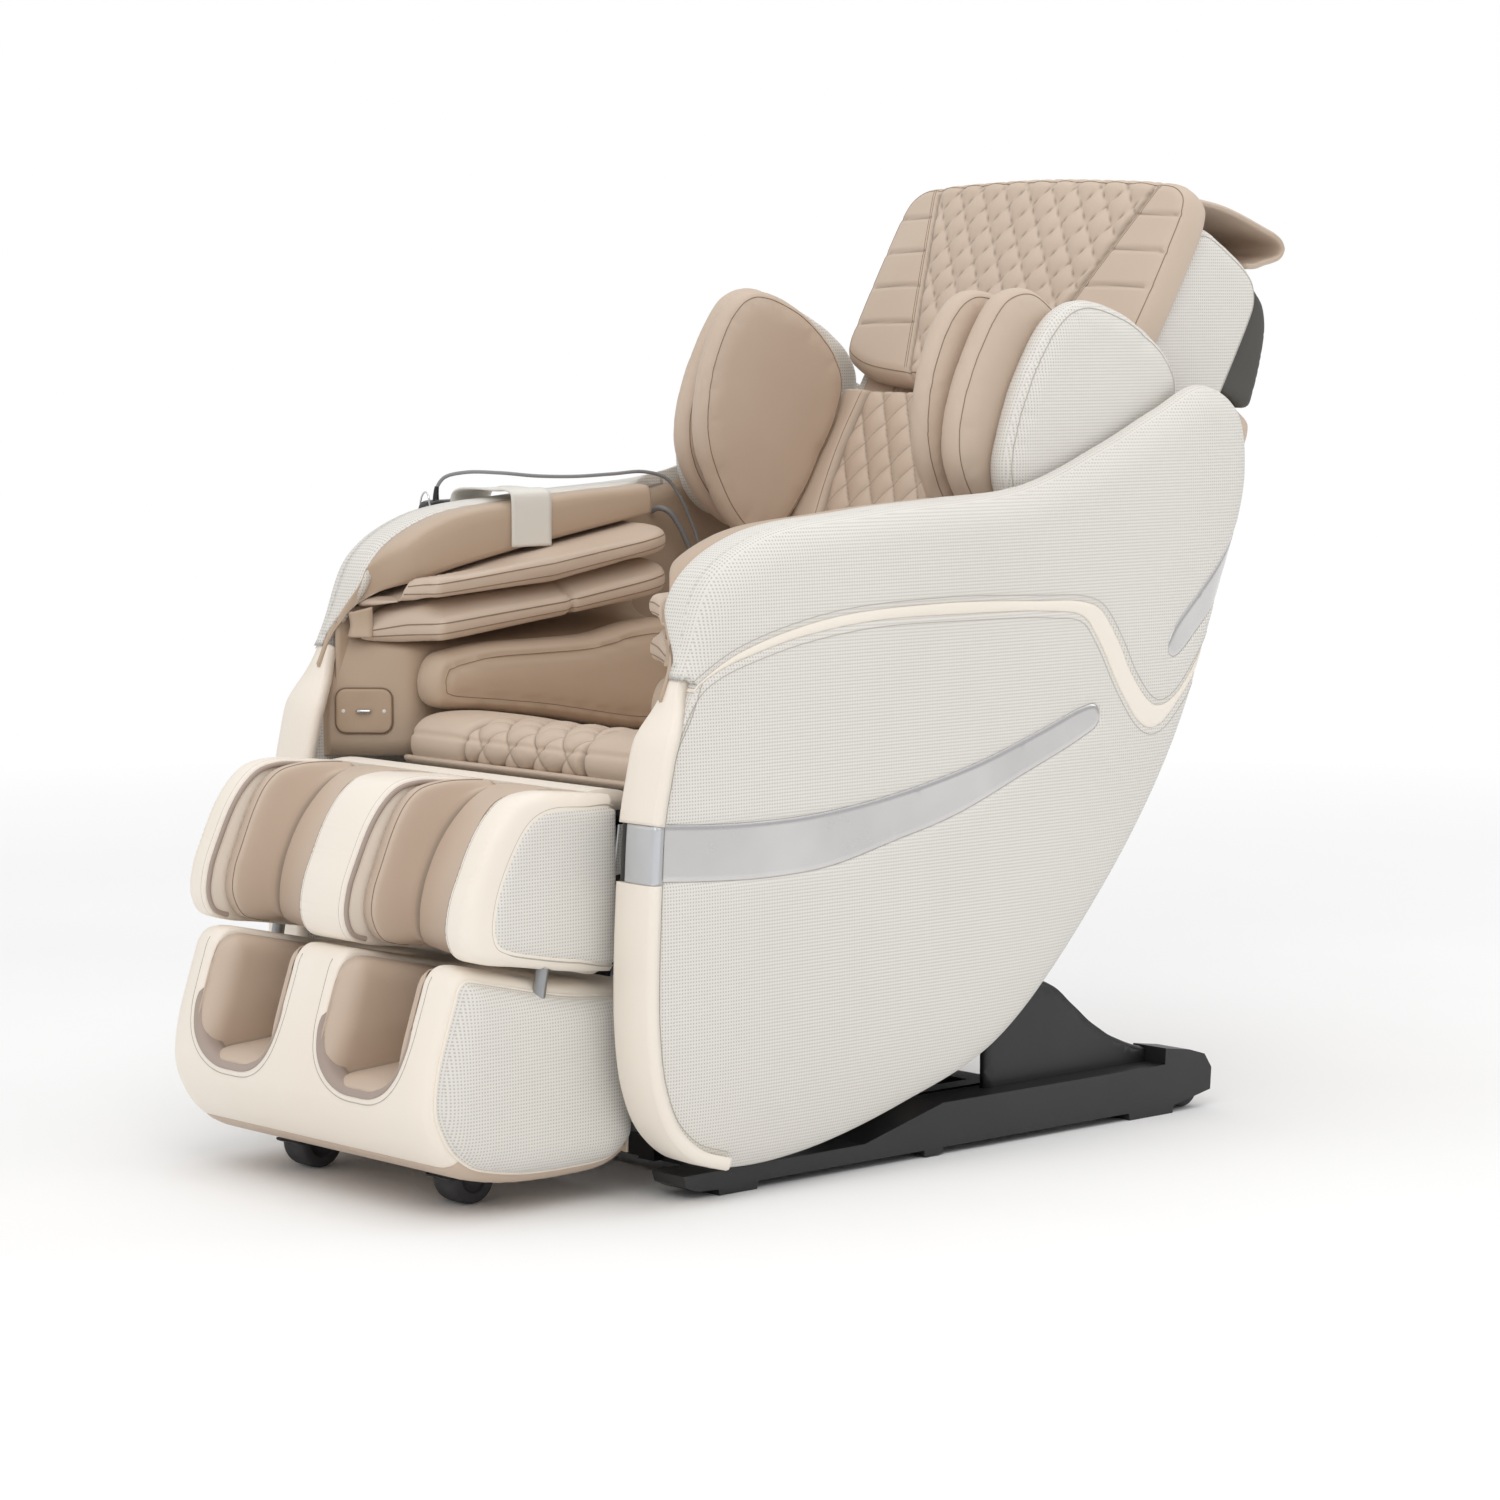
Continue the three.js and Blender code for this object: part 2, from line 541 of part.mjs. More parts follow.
function guideFrame() {
  const rail = box([150, 162], [160, 178], [120, 790]);
  const post = box([60, 80], [176, 189.5], [120, 137]);
  return join(...both(rail), box([-162, 162], [160, 178], [120, 137]),
    box([-162, 162], [160, 178], [773, 790]), ...both(post));
}

function carriage() {
  const guide = cut(box([142, 172], [150, 186], [170, 260]), box([149, 163], [159, 179], [0, 900]));
  return join(box([-142, 142], [140, 176], [175, 255]), ...both(guide),
    box([-40, 40], [120, 145], [185, 245]),
    ...both(rod(6, 38, 66, 128, 215, 12)));
}

function massageArm() {
  const body = cut(box([44, 62], [116, 140], [160, 270]), rod(6.8, 40, 70, 128, 215, 16));
  const roller = (z) => new THREE.SphereGeometry(17, 10, 6).translate(53, 104, z);
  return join(cut(body, box([40, 70], [134, 150], [150, 300])), roller(178), roller(252));
}

function addBackrest(group) {
  const back = new THREE.Group();
  back.applyMatrix4(BACK_TURN);
  back.position.set(0, ...BACK_FOOT);
  group.add(back);
  named(back, 'back_shell', backShell(), PERFORATED);
  named(back, 'back_cover', slab(BACK_COVER, -240, 240, 12), CHARCOAL);
  named(back, 'rear_upholstery', slab(REAR_UPHOLSTERY, -242, 242, 12), TAN);
  named(back, 'back_cushion', backCushion(), TAN);
  named(back, 'head_pillow', plate(PILLOW, -39.5, 18, 14), TAN);
  named(back, 'pillow_flap', slab(FLAP, -232, 232, 8), TAN);
  pair(back, 'wing_shell', wingShell(), PERFORATED);
  pair(back, 'wing_pad_outer', slab(WING_OUTER, 238, 285.4, 12), TAN);
  pair(back, 'wing_pad_inner', slab(WING_INNER, 190, 237.4, 12), TAN);
  named(back, 'guide_frame', guideFrame(), STEEL);
  named(back, 'massage_carriage', carriage(), BLACK);
  pair(back, 'massage_arm', massageArm(), BLACK);
}

// ---------------------------------------------------------------- leg rest
const CALF_X = 262;
const CALF_SIDE_X = 288;
const CHANNEL_X = [44, 244];
const CALF_OUTLINE = [
  [-497, 282], [-560, 290], [-640, 303], [-700, 314], [-722, 324], [-732, 347], [-727, 382],
  [-713, 417], [-690, 462], [-668, 490], [-645, 507], [-613, 513], [-497, 501],
];
const CALF_TOP = [
  [-500, 460], [-500, 501], [-452, 496.5], [-446, 490], [-450, 480], [-490, 474],
];
const CHANNEL = [
  [-470, 530], [-500, 497], [-548, 470], [-590, 424], [-616, 370], [-626, 320], [-628, 260],
  [-800, 250], [-800, 530],
];
const CHANNEL_LINED = [
  [-510, 530], [-540, 500], [-580, 470], [-618, 424], [-640, 370], [-648, 320], [-650, 250],
  [-800, 250], [-800, 530],
];
const CALF_PAD_FRONT = [
  [-690, 320], [-704, 350], [-694, 396], [-667, 459], [-634, 500], [-590, 505], [-480, 496],
  [-440, 540], [-440, 250], [-640, 250], [-660, 306],
];

// Slide rods carried by the foot section, running up into bores in the calf section.
const SLIDE_TILT = 11.65;      // degrees, slide direction from vertical
const SLIDE_FOOT = [-604, 270];
const SLIDE_X = [24, 266];
function slideRods(radius, low, high) {
  return SLIDE_X.flatMap((x) => {
    const bar = new THREE.CylinderGeometry(radius, radius, high - low, 12);
    bar.rotateX(Math.PI / 2).translate(0, 0, (low + high) / 2);
    return both(bar.rotateX(degrees(-SLIDE_TILT)).translate(x, ...SLIDE_FOOT));
  });
}

function calfShell() {
  const body = join(slab(CALF_OUTLINE, -CALF_X, CALF_X),
    slab(CALF_OUTLINE, -CALF_SIDE_X, CALF_SIDE_X, 18), slab(CALF_TOP, -CALF_X, CALF_X));
  const channel = slab(CHANNEL, ...CHANNEL_X);
  const [py, pz] = LEG_PIVOT;
  const ear = cut(box([251, 258], [py - 70, py + 14], [pz - 14, pz + 12]),
    rod(PIN_R + 0.8, 240, 270, py, pz));
  const [my, mz] = LEG_MOTOR.to;
  const motorEar = box([LEG_MOTOR.x + 11.5, LEG_MOTOR.x + 11.5 + EAR], [my - 30, my + 12],
    [mz - 13, mz + 13]);
  return join(cut(body, ...both(channel), ...slideRods(9.6, 4, 165)),
    ...both(ear), motorEar);
}

function calfPad() {
  const channel = slab(shifted(CHANNEL, -GAP, GAP), CHANNEL_X[0] + GAP, CHANNEL_X[1] - GAP);
  const filled = common(common(channel, slab(CALF_PAD_FRONT, ...CHANNEL_X)),
    slab(shifted(CALF_OUTLINE, 0, 2), ...CHANNEL_X));
  return cut(filled, slab(CHANNEL_LINED, CHANNEL_X[0] + 32, CHANNEL_X[1] - 32));
}

// ---------------------------------------------------------------- foot section
const FOOT_X = 287;
const FOOT_OUTLINE = [
  [-458, 52], [-500, 36], [-593, 34], [-685, 44], [-731, 64], [-766, 102], [-777, 151],
  [-767, 209], [-746, 272], [-730, 304], [-712, 308], [-640, 293], [-560, 276], [-458, 268],
];
const WELL_X = [47, 209];
const WELL = [
  [-520, 400], [-520, 150], [-560, 140], [-790, 150], [-800, 400],
];
const WELL_LINED = [
  [-548, 400], [-548, 172], [-600, 160], [-790, 160], [-800, 400],
];
const FOOT_PAD_FRONT = [
  [-745, 170], [-742, 215], [-724, 262], [-700, 290], [-640, 286], [-500, 266], [-500, 100],
  [-745, 100],
];

function footShell() {
  const body = slab(FOOT_OUTLINE, -FOOT_X, FOOT_X, 20);
  const caster = box([124, 182], [-674, -590], [0, 72]);
  return join(cut(body, ...both(slab(WELL, ...WELL_X)), ...both(caster)),
    ...slideRods(8.5, -60, 155));
}

function footPad() {
  const filled = common(slab(shifted(WELL, -GAP, GAP), WELL_X[0] + GAP, WELL_X[1] - GAP),
    slab(FOOT_PAD_FRONT, ...WELL_X));
  return cut(filled, slab(WELL_LINED, WELL_X[0] + 26, WELL_X[1] - 26));
}

function addLegRest(group) {
  named(group, 'calf_shell', calfShell(), IVORY);
  pair(group, 'calf_pad', calfPad(), TAN);
  named(group, 'foot_shell', footShell(), IVORY);
  pair(group, 'foot_pad', footPad(), TAN);
  pair(group, 'caster_wheel', wheel(153, CASTER_R, 46, -632, CASTER_R), RUBBER);
}

// ---------------------------------------------------------------- the chair
const chair = new THREE.Group();
addBase(chair);
addMotor(chair, 'tilt', TILT_MOTOR);
addSeatBody(chair);
addBackrest(chair);
addLegRest(chair);
chair.updateMatrixWorld(true);

export default chair;
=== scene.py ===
"""Looks of a massage chair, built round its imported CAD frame. Metres; +Z is up, the sitter faces -Y."""

import math

import bmesh
import bpy
import numpy as np
from mathutils import Matrix, Vector
from mathutils.bvhtree import BVHTree
from mathutils.geometry import delaunay_2d_cdt
from mathutils.kdtree import KDTree


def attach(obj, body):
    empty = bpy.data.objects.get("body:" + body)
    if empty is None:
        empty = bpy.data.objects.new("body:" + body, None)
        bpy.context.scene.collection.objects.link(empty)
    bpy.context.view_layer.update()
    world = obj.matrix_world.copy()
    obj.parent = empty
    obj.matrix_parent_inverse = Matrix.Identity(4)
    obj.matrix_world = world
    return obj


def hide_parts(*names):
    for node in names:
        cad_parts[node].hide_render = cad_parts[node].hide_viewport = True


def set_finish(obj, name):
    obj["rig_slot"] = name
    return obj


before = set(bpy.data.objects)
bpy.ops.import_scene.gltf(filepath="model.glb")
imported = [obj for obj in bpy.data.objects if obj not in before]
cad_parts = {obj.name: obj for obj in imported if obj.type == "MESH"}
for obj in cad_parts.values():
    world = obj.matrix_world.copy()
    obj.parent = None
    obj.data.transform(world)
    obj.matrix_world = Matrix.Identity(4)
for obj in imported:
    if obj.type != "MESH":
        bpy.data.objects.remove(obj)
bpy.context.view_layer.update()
MM = 0.001

# ------------------------------------------------------------------ camera
camera = bpy.data.objects.new("camera", bpy.data.cameras.new("camera"))
bpy.context.scene.collection.objects.link(camera)
camera.location = (4.313, -3.939, 1.100)
camera.rotation_euler = (math.radians(90 - 5.8756), 0, math.radians(47.7455))
camera.data.sensor_width = 36
camera.data.lens = 105.96
camera.data.clip_end = 60
bpy.context.scene.camera = camera

# ------------------------------------------------------------------ places shared with the frame
SIDE_X = 0.385                 # outer face of the arms
SHELL_X = 0.345                # inner face of the outer arm shells
CAP_X = 0.300                  # inner edge of the arm's cap
LIP_X = 0.260                  # inner face of the arm lip
BAND_X = 0.315                 # inner edge of the front bands
BACK_FOOT = np.array([0.085, 0.500])
BACK_ANGLE = math.radians(31)
CAP_END = 0.034                # y where the cap and the lip end


# ------------------------------------------------------------------ curves
def mm(points):
    """Points given in millimetres, as metres."""
    return np.array(points, float) * MM


def smooth(points, count, closed=False):
    """Centripetal Catmull-Rom curve through the points, as count points an equal way apart."""
    p = np.array(points, float)
    ring = np.vstack([p[-1], p, p[0], p[1]]) if closed else np.vstack(
        [2 * p[0] - p[1], p, 2 * p[-1] - p[-2]])
    fine = []
    for i in range(1, len(ring) - 2):
        p0, p1, p2, p3 = ring[i - 1:i + 3]
        t1 = math.sqrt(np.linalg.norm(p1 - p0)) or 1e-6
        t2 = t1 + (math.sqrt(np.linalg.norm(p2 - p1)) or 1e-6)
        t3 = t2 + (math.sqrt(np.linalg.norm(p3 - p2)) or 1e-6)
        for t in np.linspace(t1, t2, 24, endpoint=False):
            a1 = p0 * (t1 - t) / t1 + p1 * t / t1
            a2 = p1 * (t2 - t) / (t2 - t1) + p2 * (t - t1) / (t2 - t1)
            a3 = p2 * (t3 - t) / (t3 - t2) + p3 * (t - t2) / (t3 - t2)
            b1 = a1 * (t2 - t) / t2 + a2 * t / t2
            b2 = a2 * (t3 - t) / (t3 - t1) + a3 * (t - t1) / (t3 - t1)
            fine.append(b1 * (t2 - t) / (t2 - t1) + b2 * (t - t1) / (t2 - t1))
    fine.append(p[0] if closed else p[-1])
    return spaced(np.array(fine), count, closed)


def spaced(line, count, closed=False):
    """The polyline as count points an equal way apart. A closed one repeats no point."""
    steps = np.concatenate([[0], np.cumsum(np.linalg.norm(np.diff(line, axis=0), axis=1))])
    at = np.linspace(0, steps[-1], count + 1 if closed else count)
    if closed:
        at = at[:-1]
    return np.stack([np.interp(at, steps, line[:, k]) for k in range(line.shape[1])], axis=1)


def step_up(x, low, high):
    """Smooth rise from 0 at low to 1 at high."""
    t = np.clip((np.asarray(x, float) - low) / (high - low), 0, 1)
    return t * t * (3 - 2 * t)


def mix(a, b, k):
    """The value a share k of the way from a to b."""
    return a * (1 - k) + b * k


def outward(line, closed=False):
    """Unit normals of a line in its plane, on its right-hand side."""
    if closed:
        t = np.roll(line, -1, axis=0) - np.roll(line, 1, axis=0)
    else:
        t = np.gradient(line, axis=0)
    t /= np.linalg.norm(t, axis=1)[:, None]
    return np.stack([t[:, 1], -t[:, 0]], axis=1)


def distance(points, line, closed=False):
    """Shortest way from each point to the line."""
    a = line if closed else line[:-1]
    b = np.roll(line, -1, axis=0) if closed else line[1:]
    ab = b - a
    best = np.full(len(points), 1e9)
    for start in range(0, len(points), 4000):
        p = points[start:start + 4000, None, :]
        t = np.clip(((p - a) * ab).sum(2) / np.maximum((ab * ab).sum(1), 1e-18), 0, 1)
        d = np.linalg.norm(p - a - t[..., None] * ab, axis=2).min(1)
        best[start:start + 4000] = d
    return best


def inside(points, loop):
    """Which points lie inside the closed loop."""
    x, y = points[:, 0][:, None], points[:, 1][:, None]
    a, b = loop, np.roll(loop, -1, axis=0)
    crosses = (a[:, 1] > y) != (b[:, 1] > y)
    with np.errstate(divide="ignore", invalid="ignore"):
        at = a[:, 0] + (y - a[:, 1]) * (b[:, 0] - a[:, 0]) / (b[:, 1] - a[:, 1])
    return (crosses & (x < at)).sum(1) % 2 == 1


# ------------------------------------------------------------------ meshes
def add_mesh(name, points, faces, material, body=None):
    """A smooth-shaded piece from points and faces, which rides on the body."""
    mesh = bpy.data.meshes.new(name)
    mesh.from_pydata([tuple(map(float, p)) for p in points], [], [tuple(map(int, f)) for f in faces])
    mesh.validate()
    mesh.polygons.foreach_set("use_smooth", np.ones(len(mesh.polygons), bool))
    piece = bpy.data.objects.new(name, mesh)
    bpy.context.scene.collection.objects.link(piece)
    mesh.materials.append(material)
    if body:
        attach(piece, body)
    return piece


def grid_faces(nu, nv, closed_u=False, closed_v=False, first=0):
    """Four-sided faces over a grid of nu rows of nv points."""
    faces = []
    for i in range(nu if closed_u else nu - 1):
        for j in range(nv if closed_v else nv - 1):
            a, b = i % nu, (i + 1) % nu
            c, d = j % nv, (j + 1) % nv
            faces.append((first + a * nv + c, first + b * nv + c, first + b * nv + d, first + a * nv + d))
    return faces


def swept(rows):
    """Part: a bar from rows that each run its whole length, in order round its section."""
    points = np.array(rows)
    n, m = points.shape[:2]
    ends = [tuple(i * m for i in range(n)), tuple(i * m + m - 1 for i in range(n))]
    return points.reshape(-1, 3), grid_faces(n, m, closed_u=True) + ends


def stacked(rings, open_start=False):
    """Part: a body from rings one after another, closed at its ends."""
    points = np.array(rings)
    n, m = points.shape[:2]
    ends = [tuple(range(m)), tuple(range((n - 1) * m, n * m))]
    return points.reshape(-1, 3), grid_faces(n, m, closed_v=True) + (ends[1:] if open_start else ends)


def shell(piece, thickness):
    """Gives an open skin a real thickness."""
    solid = piece.modifiers.new("thickness", "SOLIDIFY")
    solid.thickness = thickness
    solid.offset = -1


def face_towards(piece, direction):
    """Flips an open skin that looks away from the direction."""
    total = sum((p.normal for p in piece.data.polygons), Vector())
    if total.dot(Vector(direction)) < 0:
        piece.data.flip_normals()


def grid_piece(name, points, material, body, thickness=0, flip=False):
    """A skin through a grid of points (rows x columns x 3)."""
    nu, nv, _ = points.shape
    faces = grid_faces(nu, nv)
    if flip:
        faces = [f[::-1] for f in faces]
    piece = add_mesh(name, points.reshape(-1, 3), faces, material, body)
    if thickness:
        shell(piece, thickness)
    return piece


def twin(piece, body):
    """The same piece reflected in the plane x = 0. Its name ends in _right in place of _left."""
    mesh = piece.data.copy()
    mesh.transform(Matrix.Scale(-1, 4, (1, 0, 0)))
    mesh.flip_normals()
    copy = bpy.data.objects.new(piece.name[:-5] + "_right", mesh)
    bpy.context.scene.collection.objects.link(copy)
    for m in piece.modifiers:
        n = copy.modifiers.new(m.name, m.type)
        n.thickness, n.offset = m.thickness, m.offset
    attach(copy, body)
    if "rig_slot" in piece:
        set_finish(copy, piece["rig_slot"])
    return copy


def pair(piece, body, slot, node=None):
    """Finishes a left-hand piece and its twin: their slot and the nodes they stand for."""
    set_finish(piece, slot)
    for p, side in ((piece, "_left"), (twin(piece, body), "_right")):
        if node:
            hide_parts(node + side)


def tube(name, path, radius, material, body, sides=8, closed=False):
    """A round cord or piping along a path, closed at its ends."""
    path = np.array(path, float)
    n = len(path)
    t = (np.roll(path, -1, axis=0) - np.roll(path, 1, axis=0)) if closed else np.gradient(path, axis=0)
    t /= np.maximum(np.linalg.norm(t, axis=1), 1e-12)[:, None]
    side = np.cross(t[0], (0.13, 0.21, 0.97))
    side /= np.linalg.norm(side)
    rows = []
    for i in range(n):
        side = side - (side @ t[i]) * t[i]
        side /= np.linalg.norm(side)
        up = np.cross(t[i], side)
        a = np.arange(sides) / sides * 2 * math.pi
        r = radius[i] if hasattr(radius, "__len__") else radius
        rows.append(path[i] + r * (np.cos(a)[:, None] * side + np.sin(a)[:, None] * up))
    points = np.array(rows)
    faces = grid_faces(n, sides, closed_u=closed, closed_v=True)
    points = points.reshape(-1, 3)
    if not closed:
        faces += [tuple(range(sides))[::-1], tuple(range((n - 1) * sides, n * sides))]
    faces = [f[::-1] for f in faces]
    return add_mesh(name, points, faces, material, body)


def back_point(x, depth, up):
    """A point of the backrest: across, behind the cushion's face, up the back. Metres."""
    c, s = math.cos(BACK_ANGLE), math.sin(BACK_ANGLE)
    x, depth, up = np.broadcast_arrays(np.asarray(x, float), depth, up)
    return np.stack([x, BACK_FOOT[0] + depth * c + up * s, BACK_FOOT[1] - depth * s + up * c], axis=-1)


INTO_BACK = back_point(0, 1.0, 0) - back_point(0, 0.0, 0)


def mark(piece, name, values):
    """A number at each vertex, for the material."""
    layer = piece.data.attributes.new(name, "FLOAT", "POINT")
    layer.data.foreach_set("value", np.asarray(values, np.float32).ravel())


# ------------------------------------------------------------------ materials
class Nodes:
    """A small helper to write a material's nodes."""

    def __init__(self, name):
        self.material = bpy.data.materials.new(name)
        self.material.use_nodes = True
        self.tree = self.material.node_tree
        self.shader = self.tree.nodes["Principled BSDF"]

    def add(self, kind, **settings):
        node = self.tree.nodes.new(kind)
        for key, value in settings.items():
            setattr(node, key, value)
        return node

    def link(self, out, into):
        self.tree.links.new(out, into)

    def put(self, socket, value):
        if hasattr(value, "is_output"):
            self.link(value, socket)
        else:
            socket.default_value = value

    def math(self, operation, a, b=0.0):
        node = self.add("ShaderNodeMath", operation=operation)
        for socket, value in zip(node.inputs, (a, b)):
            self.put(socket, value)
        return node.outputs[0]

    def ramp(self, factor, low, high):
        node = self.add("ShaderNodeMapRange", clamp=True)
        self.put(node.inputs["Value"], factor)
        node.inputs["From Min"].default_value = low
        node.inputs["From Max"].default_value = high
        return node.outputs["Result"]

    def colours(self, factor, a, b):
        node = self.add("ShaderNodeMix", data_type="RGBA")
        self.put(node.inputs["Factor"], factor)
        self.put(node.inputs[6], a)
        self.put(node.inputs[7], b)
        return node.outputs[2]

    def place(self):
        return self.add("ShaderNodeTexCoord").outputs["Object"]

    def noise(self, where, scale, detail=3.0):
        node = self.add("ShaderNodeTexNoise")
        self.link(where, node.inputs["Vector"])
        node.inputs["Scale"].default_value = scale
        node.inputs["Detail"].default_value = detail
        return node.outputs["Fac"]

    def cells(self, where, scale):
        node = self.add("ShaderNodeTexVoronoi")
        self.link(where, node.inputs["Vector"])
        node.inputs["Scale"].default_value = scale
        return node.outputs["Distance"]

    def bump(self, height, strength, depth, after=None):
        node = self.add("ShaderNodeBump")
        node.inputs["Strength"].default_value = strength
        node.inputs["Distance"].default_value = depth
        self.link(height, node.inputs["Height"])
        if after:
            self.link(after, node.inputs["Normal"])
        return node.outputs["Normal"]

    def attribute(self, name):
        return self.add("ShaderNodeAttribute", attribute_name=name).outputs["Fac"]


def rgb(r, g, b):
    """A colour given as it is seen, 0 to 255, as the shader's linear numbers."""
    def linear(v):
        v /= 255
        return v / 12.92 if v <= 0.04045 else ((v + 0.055) / 1.055) ** 2.4
    return (linear(r), linear(g), linear(b), 1.0)


GRAIN = 1400                   # grains a metre
PITCH = 0.0042                 # between the punched holes


def leather(name, colour, shade, rough=0.5, sheen=0.12, grain=0.25, seams=False):
    """Coated leatherette: fine pebble grain, slow colour drift, soft satin."""
    n = Nodes(name)
    where = n.place()
    drift = n.ramp(n.noise(where, 4.0, 4.0), 0.3, 0.7)
    tone = n.colours(n.math("MULTIPLY", drift, 0.5), colour, shade)
    speck = n.ramp(n.cells(where, GRAIN * 0.8), 0.1, 0.8)
    tone = n.colours(n.math("MULTIPLY", speck, 0.10), tone, shade)
    # seams: mixes towards a dark copy of the shade colour where the seam attribute is high, painted shade in
    # the seam and quilting grooves
    if seams:
        line = n.attribute("seam")
        tone = n.colours(n.math("MULTIPLY", line, 0.75), tone, tuple(c * 0.42 for c in shade[:3]) + (1,))
    n.link(tone, n.shader.inputs["Base Color"])
    n.link(n.math("ADD", rough - 0.06, n.math("MULTIPLY", drift, 0.12)), n.shader.inputs["Roughness"])
    n.shader.inputs["Sheen Weight"].default_value = sheen
    n.shader.inputs["Sheen Roughness"].default_value = 0.4
    n.shader.inputs["Specular IOR Level"].default_value = 0.42
    soft = n.bump(n.noise(where, 55.0, 3.0), 0.10, 0.0018)
    n.link(n.bump(n.cells(where, GRAIN), grain, 0.00035, soft), n.shader.inputs["Normal"])
    return n.material


def perforated(name, colour, shade, hole):
    """Leatherette punched with a fine square grid of holes, laid along the surface it faces."""
    n = Nodes(name)
    coords = n.add("ShaderNodeTexCoord")
    where = coords.outputs["Object"]
    axes = n.add("ShaderNodeSeparateXYZ")
    n.link(where, axes.inputs[0])
    x, y, z = axes.outputs

    def holes(a, b):
        u = n.math("SUBTRACT", n.math("FRACT", n.math("MULTIPLY", a, 1 / PITCH)), 0.5)
        v = n.math("SUBTRACT", n.math("FRACT", n.math("MULTIPLY", b, 1 / PITCH)), 0.5)
        r = n.math("SQRT", n.math("ADD", n.math("MULTIPLY", u, u), n.math("MULTIPLY", v, v)))
        return n.ramp(r, 0.34, 0.18)

    facing = n.add("ShaderNodeSeparateXYZ")
    n.link(coords.outputs["Normal"], facing.inputs[0])
    fx, fy, fz = (n.math("ABSOLUTE", o) for o in facing.outputs)
    to_side = n.math("GREATER_THAN", fx, 0.6)
    to_top = n.math("GREATER_THAN", fz, fy)
    front_or_top = n.add("ShaderNodeMix", data_type="FLOAT")
    n.link(to_top, front_or_top.inputs[0])
    n.link(holes(x, z), front_or_top.inputs[2])
    n.link(holes(x, y), front_or_top.inputs[3])
    dots = n.add("ShaderNodeMix", data_type="FLOAT")
    n.link(to_side, dots.inputs[0])
    n.link(front_or_top.outputs[0], dots.inputs[2])
    n.link(holes(y, z), dots.inputs[3])
    dots = dots.outputs[0]
    drift = n.ramp(n.noise(where, 3.5, 4.0), 0.3, 0.7)
    tone = n.colours(n.math("MULTIPLY", drift, 0.5), colour, shade)
    tone = n.colours(n.math("MULTIPLY", dots, 0.62), tone, hole)
    n.link(tone, n.shader.inputs["Base Color"])
    n.link(n.math("ADD", 0.52, n.math("MULTIPLY", dots, 0.3)), n.shader.inputs["Roughness"])
    n.shader.inputs["Specular IOR Level"].default_value = 0.38
    n.shader.inputs["Sheen Weight"].default_value = 0.08
    fine = n.bump(n.cells(where, GRAIN), 0.12, 0.0003)
    n.link(n.bump(n.math("SUBTRACT", 1.0, dots), 0.5, 0.0006, fine), n.shader.inputs["Normal"])
    return n.material


def moulded(name, colour, rough, metal=0.0, grain=0.1, scale=900, coat=0.0):
    """Moulded plastic, rubber, plated steel or satin paint with a fine texture."""
    n = Nodes(name)
    where = n.place()
    drift = n.ramp(n.noise(where, 9.0, 5.0), 0.3, 0.7)
    tone = n.colours(n.math("MULTIPLY", drift, 0.35), colour, tuple(c * 0.8 for c in colour[:3]) + (1,))
    n.link(tone, n.shader.inputs["Base Color"])
    n.link(n.math("ADD", rough - 0.04, n.math("MULTIPLY", drift, 0.08)), n.shader.inputs["Roughness"])
    n.shader.inputs["Metallic"].default_value = metal
    n.shader.inputs["Coat Weight"].default_value = coat
    n.link(n.bump(n.noise(where, scale, 2.0), grain, 0.0003), n.shader.inputs["Normal"])
    return n.material


TAN = leather("tan_leather", rgb(208, 189, 171), rgb(192, 171, 151))
# tan leather with painted shade in its seam and quilting grooves
TAN_SEAM_SHADE = leather("tan_quilted", rgb(208, 189, 171), rgb(192, 171, 151), seams=True)
# a darker copy of the tan leather for the pieces deep inside the arms: painted shade
TAN_SHADED = leather("tan_deep", rgb(196, 175, 154), rgb(178, 156, 134), rough=0.44)
IVORY = leather("ivory_leather", rgb(246, 238, 226), rgb(238, 226, 212), rough=0.46, grain=0.12, sheen=0.05)
STRAP = leather("strap_leather", rgb(232, 229, 222), rgb(222, 219, 210), rough=0.55, grain=0.3)
PIPING = leather("taupe_piping", rgb(176, 160, 150), rgb(158, 142, 132), rough=0.5)
THREAD = leather("seam_thread", rgb(152, 130, 110), rgb(132, 110, 92), rough=0.8, grain=0.6)
PALE_THREAD = leather("pale_thread", rgb(190, 184, 174), rgb(172, 166, 156), rough=0.8, grain=0.6)
PERFORATED = perforated("perforated_leather", rgb(230, 227, 221), rgb(223, 219, 212), rgb(172, 166, 157))
SILVER = moulded("silver_trim", rgb(214, 212, 211), 0.24, metal=0.95, grain=0.006, scale=300, coat=0.15)
PALE_SILVER = moulded("pale_silver", rgb(206, 208, 211), 0.3, metal=0.4, grain=0.04, scale=1500, coat=0.2)
BLACK = moulded("satin_black", rgb(40, 40, 41), 0.38, grain=0.12, scale=1200)
CHARCOAL = moulded("charcoal_cover", rgb(78, 76, 72), 0.62, grain=0.5, scale=700)
GLOSS = moulded("black_gloss", rgb(24, 24, 25), 0.2, grain=0.02, coat=0.4)
RUBBER = moulded("rubber", rgb(58, 58, 60), 0.7, grain=0.4, scale=600)
STEEL = moulded("plated_steel", rgb(176, 178, 180), 0.34, metal=0.95, grain=0.1, scale=400)
CHROME = moulded("chrome", rgb(222, 222, 224), 0.1, metal=1.0, grain=0.01)
JACKET = moulded("cord_jacket", rgb(142, 142, 144), 0.5, grain=0.15, scale=800)
TAN_PLASTIC = moulded("tan_plastic", rgb(186, 162, 138), 0.42, grain=0.1, scale=900)
DOT = moulded("pale_dots", rgb(236, 232, 226), 0.4, grain=0.05)


# ------------------------------------------------------------------ padded and flat pieces
PAD_ROWS = (0.03, 0.12, 0.28, 0.52, 0.8)      # rows of points beside a pad's rim, in edge radii
SLAB_ROWS = (0.05, 0.16, 0.34, 0.6, 0.95)


